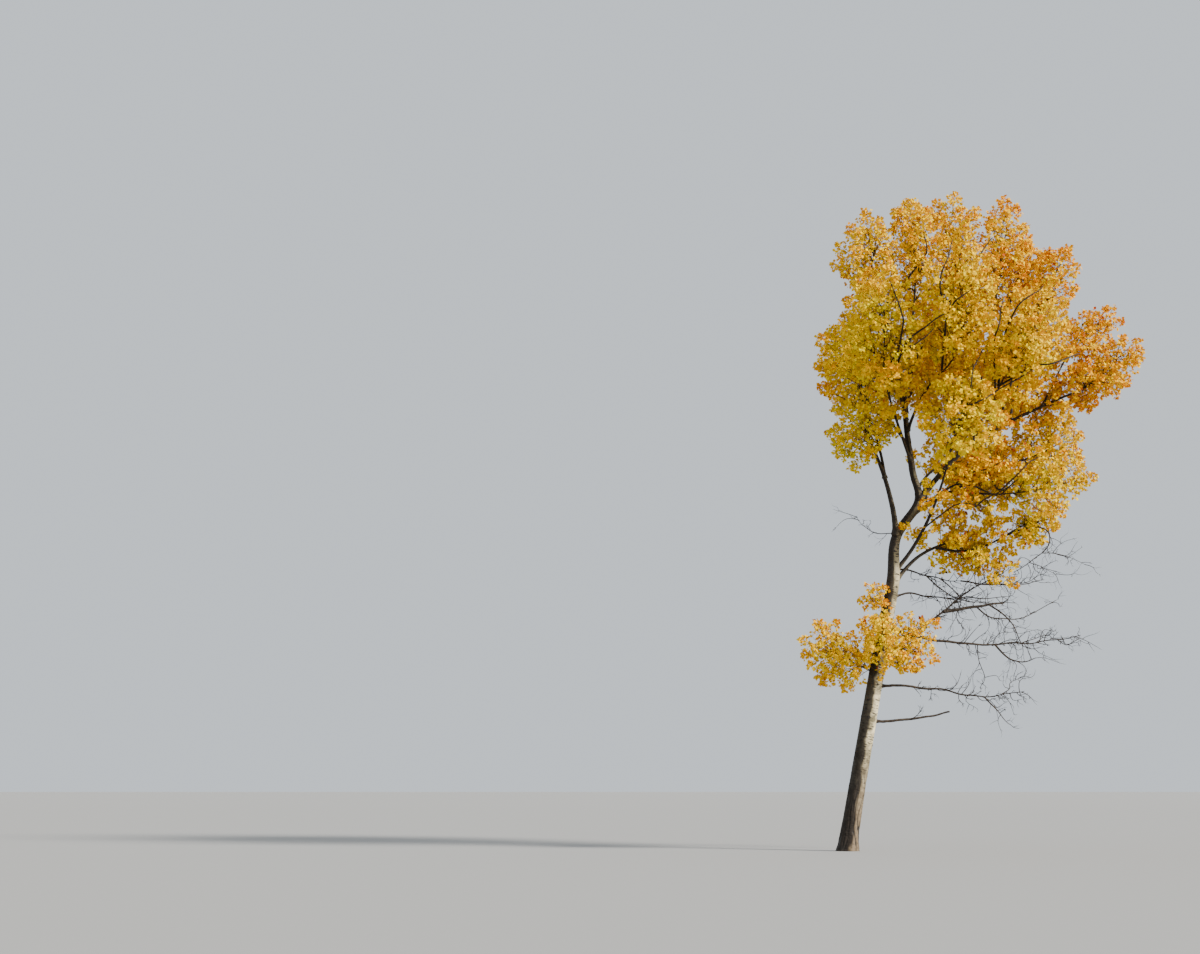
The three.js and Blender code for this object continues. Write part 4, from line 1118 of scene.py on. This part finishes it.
# Thin limbs that leave a bough's end and come to the face of the leaves for a stretch.
OUTER_LIMBS = (
    # name, limb, share along it, girth, places that the limb runs through
    ("low_crossing_limb", "front_low_bough", 0.95, 0.062, ((2.82, -2.2, 10.76), (3.0, -3.0, 10.83),
      (3.7, -2.55, 11.29), (4.27, -2.9, 11.56), (4.63, -2.5, 11.86))),
    ("right_crossing_limb", "front_right_bough", 0.98, 0.062, ((4.48, -2.5, 11.81),
      (4.78, -3.15, 11.75), (5.38, -3.05, 11.93), (5.68, -2.7, 12.09))),
    ("high_crossing_limb", "front_right_bough", 0.9, 0.068, ((3.9, -2.2, 12.47), (3.99, -3.1, 13.1),
      (4.37, -3.22, 13.42), (4.76, -3.12, 13.78))),
    ("left_crossing_limb", "front_left_bough", 0.95, 0.07, ((1.4, -2.0, 12.34), (1.66, -2.6, 12.67),
      (2.0, -2.8, 12.9), (2.36, -2.9, 13.1))),
    ("left_second_limb", "left_crossing_limb", 0.25, 0.054, ((1.55, -2.6, 12.32), (1.85, -2.65, 12.56),
      (2.14, -2.6, 12.83))),
    ("middle_limb", "front_middle_bough", 0.95, 0.068, ((2.44, -2.5, 12.98), (2.54, -3.05, 13.32),
      (2.71, -3.2, 13.45), (2.98, -3.12, 13.65))),
    ("middle_riser", "middle_limb", 0.3, 0.054, ((2.16, -3.3, 13.7), (2.26, -3.62, 14.19),
      (2.51, -3.35, 14.89))),
    ("top_riser", "top_bough", 0.95, 0.059, ((3.51, -0.9, 14.86), (3.64, -1.2, 15.09),
      (3.81, -1.15, 15.35), (4.02, -1.1, 15.63))),
    ("inner_riser", "front_right_bough", 0.7, 0.054, ((3.63, -2.4, 12.42), (3.54, -3.2, 12.67),
      (3.72, -2.9, 13.16), (3.98, -2.2, 13.74))),
    ("left_riser", "front_left_bough", 0.98, 0.059, ((1.32, -2.7, 12.72), (1.21, -3.15, 13.06),
      (1.1, -3.15, 13.49), (0.97, -3.12, 13.88))),
    ("low_riser", "front_low_bough", 0.98, 0.054, ((2.85, -2.8, 11.03), (2.9, -3.1, 11.36),
      (3.0, -3.05, 11.77), (3.35, -2.55, 12.33))),
    ("outer_low_limb", "outer_right_bough", 0.75, 0.059, ((3.95, -0.8, 9.03), (4.17, -1.2, 9.16),
      (4.53, -1.35, 9.55), (4.95, -1.25, 9.82))),
    ("lower_right_limb", "lower_right_bough", 0.85, 0.054, ((3.4, -0.6, 8.64), (3.61, -0.8, 8.77),
      (4.09, -0.75, 9.03), (4.37, -1.45, 9.22))),
    ("top_left_limb", "top_left_bough", 0.95, 0.059, ((2.16, -0.8, 15.05), (2.3, -1.05, 15.35),
      (2.22, -1.15, 15.75))),
    ("fork_limb", "upper_right_bough", 0.06, 0.075, ((2.26, -0.15, 8.79), (2.67, -0.35, 9.1),
      (3.08, -0.5, 9.28), (3.61, -0.75, 8.98), (4.0, -0.8, 8.85))),
    ("fork_side_limb", "fork_limb", 0.55, 0.05, ((3.23, -0.7, 9.46), (3.6, -1.0, 9.51),
      (4.02, -1.2, 9.68))),
    ("front_side_limb", "front_low_bough", 0.42, 0.048, ((2.73, -0.75, 8.57), (3.17, -0.85, 8.66),
      (3.61, -0.9, 8.57))),
)
LIMB_ROOM = 0.04                # kept clear of leaves round such a limb, besides the usual room
LIMB_TAPER = 0.6
STEM_PAINTED_SHADE = 0.6                 # how far the painted shade darkens the stems and outer limbs, all round
OUTER_LIMB_SIDES = 6
STEM_RINGS = 14
STEM_SIDES = 8
TWIG_RINGS = 10
TWIG_SIDES = 5
STEM_ON_TRUNK = 0.024           # radius of a stem that grows from the trunk, at its foot
STEM_TIP = 0.011
TWIG_TIP_TAPER = 0.55
TWIG_SWAY = 0.03
TWIG_INTO_SPRAY = 0.25          # how far a twig runs on into its spray, as a share of it
GROWING_MARGIN = 0.015          # beyond the room of the solids, as a share of it


def bowed(start, direction, length, bow, shares):
    """Points along a twig that bows sideways and comes back to its straight line."""
    sideways = bow * (np.sin(math.pi * shares) * length)[:, None]
    return start + direction * (length * shares)[:, None] + sideways


stem_parts, branchlets = [], []


def add_stem(line, radius, sides):
    stem_parts.append(thin_tube(line, radius, sides, scar=0, pale=0, damp=STEM_PAINTED_SHADE))


grown = [grow_mass(k) for k in range(len(MASSES))]
for name, limb, where, girth, places in OUTER_LIMBS:
    line, shares = set_branch(name, limb, where, places, 4)
    add_stem(line, girth / 2 * (1 - LIMB_TAPER * shares), OUTER_LIMB_SIDES)
    limb_from = np.concatenate((limb_from, line[:-1]))
    limb_to = np.concatenate((limb_to, line[1:]))
    limb_radius = np.concatenate((limb_radius, np.full(len(line) - 1, LIMB_ROOM)))
for k, (stem_point, twigs, sprays) in enumerate(grown):
    shares = np.linspace(0, 1, STEM_RINGS)
    line = np.array([stem_point(t) for t in shares])
    where = MASSES[k][1]
    first_radius = STEM_ON_TRUNK if isinstance(where, float) else coarse[where][1][-1]
    add_stem(line, first_radius + (STEM_TIP - first_radius) * shares, STEM_SIDES)
    for twig in twigs:
        shares = np.linspace(0, 1, TWIG_RINGS)
        full = twig.length + TWIG_INTO_SPRAY * twig.spray.length
        line = bowed(twig.start, twig.way, full, twig.spray.normal * TWIG_SWAY, shares)
        add_stem(line, TWIG_GIRTH / 2 * (1 - TWIG_TIP_TAPER * shares), TWIG_SIDES)
    branchlets += [(spray.root, spray.direction, spray.normal, spray.length, k)
                   for spray in sprays]
    branchlets += fill_branchlets(k, stem_point, twigs, sprays)
for k, shoots in enumerate(SHOOTS):
    branchlets += bough_shoots(*shoots, 200 + k)
mass_names = [mass[0] for mass in MASSES]
make_piece("stems_and_twigs", stem_parts, bough_bark, mass_names)

# Nothing grows out of the room that the solids take up, apart from a narrow margin.
low = np.array(solid_low) - GROWING_MARGIN * np.array(solid_high - solid_low)
high = np.array(solid_high) + GROWING_MARGIN * np.array(solid_high - solid_low)


def ends_in_room(branchlet):
    root, direction, _, length, _ = branchlet
    tip = root + direction * length
    return ((tip > low) & (tip < high)).all()


def ring_tubes(lines, radii, sides):
    """The points of many fine twigs of equal ring count at once: lines is twig by ring by xyz."""
    heading = unit(lines[:, -1] - lines[:, 0])
    across = unit(np.cross(heading, FIRST_ACROSS))
    outward, _ = spokes(across, np.cross(heading, across), sides)
    body = lines[:, :-1, None] + outward[:, None] * radii[:, :-1, None, None]
    return np.concatenate((body.reshape(len(lines), -1, 3), lines[:, -1:]), 1)


def mesh_of_copies(name, points, faces):
    """A mesh of many like things: points is thing by corner by xyz, and faces, which may have
    three or four corners, are the same in each thing."""
    things, corners = points.shape[:2]
    sizes = np.tile([len(face) for face in faces], things)
    loops = (np.concatenate(faces)[None] + (np.arange(things) * corners)[:, None]).ravel()
    mesh = bpy.data.meshes.new(name)
    mesh.vertices.add(things * corners)
    mesh.vertices.foreach_set("co", points.astype(np.float32).ravel())
    mesh.loops.add(len(loops))
    mesh.loops.foreach_set("vertex_index", loops.astype(np.int32))
    mesh.polygons.add(len(sizes))
    mesh.polygons.foreach_set("loop_start", (np.cumsum(sizes) - sizes).astype(np.int32))
    mesh.update(calc_edges=True)
    return mesh


TWIG_BROWN = (0.050, 0.033, 0.020, 1)
twig_bark, _, twig_shader = new_material("twig_bark", roughness=0.65, specular=0.20)
twig_shader.inputs["Base Color"].default_value = TWIG_BROWN

# The branchlets' own wood: a rib that bows a little, and fine twigs set round it at the golden
# angle, longest where the branchlet is widest.
RIB_RINGS = 6
RIB_REACH = 0.93                # of the branchlet
RIB_SIDES = 3                   # and of the fine twigs
RIB_BOW = 0.05
RIB_RADIUS = 0.0120
RIB_TAPER = 0.7
TWIGLET_STEP = 0.078            # distance between the fine twigs along a branchlet
FEWEST_TWIGLETS = 5
TWIGLETS_ALONG = (0.14, 0.84)   # the first share of a rib that has them, and how far they go on
TWIGLET_REACHES = (0.10, 0.36)  # at a rib's ends, and what is added where it is widest
TWIGLET_SPREAD = (0.75, 1.15)
TWIGLET_LEAN = 1.05             # at a rib's foot
TWIGLET_LEAN_LOSS = 0.45        # of it up to the tip
TWIGLET_LEAN_SPREAD = 0.12
TWIGLET_FLATNESS = 0.72         # reach of a branchlet across its flat side
TWIGLET_LIFT = 0.08
TWIGLET_BOW = 0.07
TWIGLET_RADIUS = 0.0038
TWIGLET_TAPER = (1.0, 0.75, 0.5)
UNEVEN = (0.2, 0.8)             # where in its own stretch a fine twig or leaf stands
random = np.random.default_rng(5)
branchlets = [branchlet for branchlet in branchlets if ends_in_room(branchlet)]
rib_root, rib_way, rib_normal, rib_length, rib_mass = (
    np.array(column) for column in zip(*branchlets))
rib_count = len(branchlets)
rib_bow = (rib_normal * random.uniform(-RIB_BOW, RIB_BOW, (rib_count, 1))
           + UP * random.uniform(0.0, RIB_BOW, (rib_count, 1)))
rib_shares = np.linspace(0, 1, RIB_RINGS)
rib_lines = np.stack([
    bowed(rib_root[i], rib_way[i], rib_length[i] * RIB_REACH, rib_bow[i], rib_shares)
    for i in range(rib_count)])
rib_radii = (RIB_RADIUS * np.sqrt(rib_length / SPRAY_LENGTH)[:, None]
             * (1 - RIB_TAPER * rib_shares))
rib_faces = pointed_faces(RIB_RINGS, RIB_SIDES)
mesh = mesh_of_copies("branchlets", ring_tubes(rib_lines, rib_radii, RIB_SIDES), rib_faces)
add_piece("branchlets", mesh, twig_bark, mass_names)

twiglets = []
for i in range(rib_count):
    count = max(int(rib_length[i] / TWIGLET_STEP), FEWEST_TWIGLETS)
    side = np.cross(rib_way[i], rib_normal[i])
    for j in range(count):
        share = TWIGLETS_ALONG[0] + TWIGLETS_ALONG[1] * (j + random.uniform(*UNEVEN)) / count
        width = max(spray_width_at(share), 0)
        reach = rib_length[i] * (TWIGLET_REACHES[0] + TWIGLET_REACHES[1] * width)
        reach *= random.uniform(*TWIGLET_SPREAD)
        turn = j * GOLDEN_ANGLE + i
        lean = TWIGLET_LEAN - TWIGLET_LEAN_LOSS * share
        lean += random.uniform(-TWIGLET_LEAN_SPREAD, TWIGLET_LEAN_SPREAD)
        way = (rib_way[i] * math.cos(lean)
               + side * (math.sin(lean) * math.cos(turn))
               + rib_normal[i] * (math.sin(lean) * math.sin(turn) * TWIGLET_FLATNESS))
        root = bowed(rib_root[i], rib_way[i], rib_length[i] * RIB_REACH, rib_bow[i],
                     np.array((share,)))[0]
        twiglets.append((root, unit(way + UP * TWIGLET_LIFT), reach, i, share))
    twiglets.append((rib_lines[i, -1], rib_way[i], rib_length[i] * TWIGLET_REACHES[0], i, 1.0))
twiglet_root, twiglet_way, twiglet_length, twiglet_rib, twiglet_share = (
    np.array(column) for column in zip(*twiglets))
twiglet_bow = unit(random.normal(size=twiglet_way.shape)) * TWIGLET_BOW


def on_twiglets(chosen, share):
    """Places at a share along the chosen fine twigs."""
    length = twiglet_length[chosen]
    return (twiglet_root[chosen] + twiglet_way[chosen] * (length * share)[:, None]
            + twiglet_bow[chosen] * (length * np.sin(math.pi * share))[:, None])


every = np.arange(len(twiglets))
twiglet_lines = np.stack([on_twiglets(every, share) for share in (0.0, 0.5, 1.0)], 1)
twiglet_radii = np.full((len(twiglets), len(TWIGLET_TAPER)), TWIGLET_RADIUS) * TWIGLET_TAPER
twiglet_faces = pointed_faces(len(TWIGLET_TAPER), RIB_SIDES)
mesh = mesh_of_copies(
    "fine_twigs", ring_tubes(twiglet_lines, twiglet_radii, RIB_SIDES), twiglet_faces)
add_piece("fine_twigs", mesh, twig_bark, mass_names)


# Leaves. Broad blades, nearly round with a short point, folded along the midrib, each hanging
# on its own long stalk. They stand along the outer part of every fine twig. Their tints are
# dealt out by spray: green-gold where young and shaded, orange and rust at the ripest tips.
LEAF_STEP = 0.0165              # distance between leaves along a fine twig
LEAVES_AT_TIP = 2
FEWEST_LEAVES = 3               # on a fine twig, before those at its tip
LEAFY_SHARE = 0.85
LEAVES_FROM = 0.38              # the share of a fine twig from which it has leaves
LEAF_LENGTH = 0.083
LEAF_SPREAD = (0.72, 1.18)
STALK_LENGTH = 0.038
STALK_SPREAD = (0.6, 1.2)
STALK_LEANS = (0.2, 1.0)        # how much a stalk points along its twig
STALK_HALF_WIDTH = 0.0022
HANG = 0.45                     # how much a blade hangs down from its stalk
FLUTTER = 0.45                  # how much its way strays
LEAF_OUTLINE = (                # along the blade, across it, above it, as shares of its length
    (0.00, 0.00, 0.00),
    (0.24, 0.47, 0.10),
    (0.66, 0.36, 0.07),
    (1.00, 0.00, -0.04),
    (0.66, -0.36, 0.07),
    (0.24, -0.47, 0.10),
)
LEAF_FACES = ((0, 1, 2, 3), (0, 3, 4, 5), (6, 7, 8))            # half a blade, the other, the stalk
LEAF_ROOM = 0.06                # kept clear round a limb
MOST_LEAVES_IN_A_PIECE = 39000  # five triangles each
SHED_DEPTHS = (0.42, 0.84)      # deeper than this in its mass, a shaded leaf may have been shed
MOST_SHED = 0.72
RIPE_FACE = (0.80, 0.98)        # how far out the ripe leaves are that dot the face of a mass
RIPE_FACE_SHARE = 0.16
LEAVES_AT_ONCE = 4000           # whose distances to all limbs are worked out together
TINTS = (
    # name, slot, ripeness up to which it is dealt, colour
    ("leaves_olive", "leaves_olive", 0.20, (0.640, 0.535, 0.000)),
    ("leaves_lemon", "leaves_lemon", 0.36, (0.840, 0.635, 0.000)),
    ("leaves_yellow", "leaves_gold", 0.52, (0.860, 0.585, 0.000)),
    ("leaves_gold", "leaves_gold", 0.66, (0.860, 0.520, 0.000)),
    ("leaves_amber", "leaves_amber", 0.80, (0.840, 0.430, 0.000)),
    ("leaves_orange", "leaves_orange", 0.96, (0.790, 0.350, 0.000)),
    ("leaves_rust", "leaves_rust", 9.0, (0.400, 0.085, 0.010)),
)

leaves_on = (twiglet_length * LEAFY_SHARE / LEAF_STEP).astype(int)
leaves_on = np.maximum(leaves_on, FEWEST_LEAVES) + LEAVES_AT_TIP
owner = np.repeat(every, leaves_on)
leaf_count = len(owner)
order = np.arange(leaf_count) - np.repeat(np.cumsum(leaves_on) - leaves_on, leaves_on)
share = (LEAVES_FROM + (1 - LEAVES_FROM)
         * (order + random.uniform(*UNEVEN, leaf_count)) / leaves_on[owner])
share = np.minimum(share, 1.0)
way = twiglet_way[owner]
root = on_twiglets(owner, share)
sideways = random.normal(size=root.shape)
sideways = unit(sideways - way * (sideways * way).sum(-1, keepdims=True))
stalk_way = unit(sideways + way * random.uniform(*STALK_LEANS, (leaf_count, 1)))
stalk = STALK_LENGTH * random.uniform(*STALK_SPREAD, leaf_count)
blade_root = root + stalk_way * stalk[:, None]
blade_way = unit(stalk_way * 0.8 + random.normal(size=root.shape) * FLUTTER - UP * HANG)
facing = random.normal(size=root.shape) + UP * 0.5 + stalk_way * 0.2
blade_normal = unit(facing - blade_way * (facing * blade_way).sum(-1, keepdims=True))
blade_side = np.cross(blade_way, blade_normal)
blade_length = LEAF_LENGTH * random.uniform(*LEAF_SPREAD, leaf_count)
along, across, above = np.array(LEAF_OUTLINE).T[:, None, :, None]
blade = blade_root[:, None] + blade_length[:, None, None] * (
    blade_way[:, None] * along + blade_side[:, None] * across + blade_normal[:, None] * above)
stalk_side = blade_side * STALK_HALF_WIDTH
stalk_points = np.stack((root, blade_root + stalk_side, blade_root - stalk_side), 1)
leaf_points = np.concatenate((blade, stalk_points), 1)

# The ripest leaves stand highest, outermost in their mass and at the tips of branchlets and fine
# twigs. Each of these counts by a weight, from a middle value at which it changes nothing.
RIPE_HEIGHTS = (8.0, 9.0)       # the lowest leaves, and from there to the highest
HEIGHT_WEIGHT = 0.10
OUTNESS_WEIGHT = 0.16
OUTNESS_MIDDLE = 0.75
PLACE_WEIGHT = 0.14
PLACE_MIDDLE = 0.6
TIP_WEIGHT = 0.06
BRANCHLET_TINT = 0.09           # how far whole branchlets, and then fine twigs and leaves, stray
SINGLE_TINT = 0.05
FACE_TIP = (0.70, 0.95)         # the shares of a fine twig over which the dotted leaves begin
FACE_RIPENESS = 0.5
mass_ripeness = np.array([mass[5] for mass in MASSES])
twiglet_mass = rib_mass[twiglet_rib]
height = np.clip((twiglet_root[:, 2] - RIPE_HEIGHTS[0]) / RIPE_HEIGHTS[1], 0, 1)
outness = depths(twiglet_root)[every, twiglet_mass].clip(0, 1)
rib_tint = random.normal(0, BRANCHLET_TINT, rib_count)
twiglet_ripeness = (
    mass_ripeness[twiglet_mass] + HEIGHT_WEIGHT * (height - 0.5)
    + OUTNESS_WEIGHT * (outness - OUTNESS_MIDDLE)
    + PLACE_WEIGHT * (twiglet_share - PLACE_MIDDLE) + rib_tint[twiglet_rib]
    + random.normal(0, SINGLE_TINT, len(twiglets)))
ripeness = (twiglet_ripeness[owner] + random.normal(0, SINGLE_TINT, leaf_count)
            + TIP_WEIGHT * (share - 0.5))
on_face = smooth_step(*RIPE_FACE, outness[owner]) * smooth_step(*FACE_TIP, share)
ripeness[random.uniform(size=leaf_count) < RIPE_FACE_SHARE * on_face] += FACE_RIPENESS

inside = ((leaf_points > low) & (leaf_points < high)).all((1, 2))
clear = np.concatenate([
    (distance_to(limb_from, limb_to, places) - limb_radius > LEAF_ROOM).all(1)
    for places in np.split(blade_root, range(LEAVES_AT_ONCE, leaf_count, LEAVES_AT_ONCE))])
sheltered = 1 - smooth_step(*SHED_DEPTHS, outness[owner])
shed = random.uniform(size=leaf_count) < MOST_SHED * sheltered
kept = inside & clear & ~shed

least = -np.inf
for name, slot, most, tint in TINTS:
    chosen = np.flatnonzero(kept & (ripeness >= least) & (ripeness < most))
    least = most
    material, _, shader = new_material(name, roughness=0.60, specular=0.06)
    shader.inputs["Base Color"].default_value = (*tint, 1)
    for part, first in enumerate(range(0, len(chosen), MOST_LEAVES_IN_A_PIECE), 1):
        in_piece = chosen[first:first + MOST_LEAVES_IN_A_PIECE]
        mesh = mesh_of_copies(f"{name}_{part}", leaf_points[in_piece], LEAF_FACES)
        add_piece(f"{name}_{part}", mesh, material, mass_names)


# Floor, light and camera. A pale level floor runs on to the horizon under a pale even sky, and a
# low soft sun shines from the right, in front of the tree. The camera stands at eye height,
# looks slightly up and sees the tree at the right of its frame.
FLOOR_HALF = 450
FLOOR_TINTS = ((0.30, 0.295, 0.285, 1), (0.33, 0.325, 0.315, 1))
SKY_COLOR = (0.86, 0.93, 1.0, 1)
SKY_STRENGTH = 0.88
KEY_STRENGTH = 8.2
KEY_COLOR = (1.0, 0.96, 0.89)
KEY_SOFTNESS = math.radians(12)
KEY_HEIGHT = math.radians(32)   # above the horizon
KEY_TURN = math.radians(62)     # to the right of the camera
IMAGE_WIDTH = 1200
FOCAL_PIXELS = 1760
SENSOR_WIDTH = 36
CAMERA_PLACE = (-6.181, -45.0, 1.6)
CAMERA_PITCH = math.radians(9.96)
FARTHEST_SEEN = 2000


def stand(name, data, place=(0, 0, 0), turn=(0, 0, 0)):
    """Sets a thing that isn't part of the tree in its place in the scene."""
    thing = bpy.data.objects.new(name, data)
    thing.location = place
    thing.rotation_euler = turn
    bpy.context.scene.collection.objects.link(thing)
    return thing


floor_mesh = bpy.data.meshes.new("floor")
floor_mesh.from_pydata(
    [(x * FLOOR_HALF, y * FLOOR_HALF, 0) for x, y in ((-1, -1), (1, -1), (1, 1), (-1, 1))],
    [], [(0, 1, 2, 3)])
floor_paint, tree, shader = new_material("floor_paint", roughness=0.9, specular=0.5)
speckle = add_node(tree, "TexNoise", {"Scale": 3.0, "Detail": 3.0})
tree.links.new(mixed(tree, speckle.outputs[0], *FLOOR_TINTS), shader.inputs["Base Color"])
floor_mesh.materials.append(floor_paint)
stand("floor", floor_mesh)

world = bpy.data.worlds.new("even_sky")
bpy.context.scene.world = world
world.use_nodes = True
sky = world.node_tree.nodes["Background"]
sky.inputs["Color"].default_value = SKY_COLOR
sky.inputs["Strength"].default_value = SKY_STRENGTH

key = bpy.data.lights.new("key", "SUN")
key.energy = KEY_STRENGTH
key.angle = KEY_SOFTNESS
key.color = KEY_COLOR
stand("key", key, turn=(math.pi / 2 - KEY_HEIGHT, 0, KEY_TURN))

camera_data = bpy.data.cameras.new("camera")
camera_data.sensor_width = SENSOR_WIDTH
camera_data.lens = FOCAL_PIXELS / IMAGE_WIDTH * SENSOR_WIDTH
camera_data.clip_end = FARTHEST_SEEN
bpy.context.scene.camera = stand(
    "camera", camera_data, CAMERA_PLACE, (math.pi / 2 + CAMERA_PITCH, 0, 0))
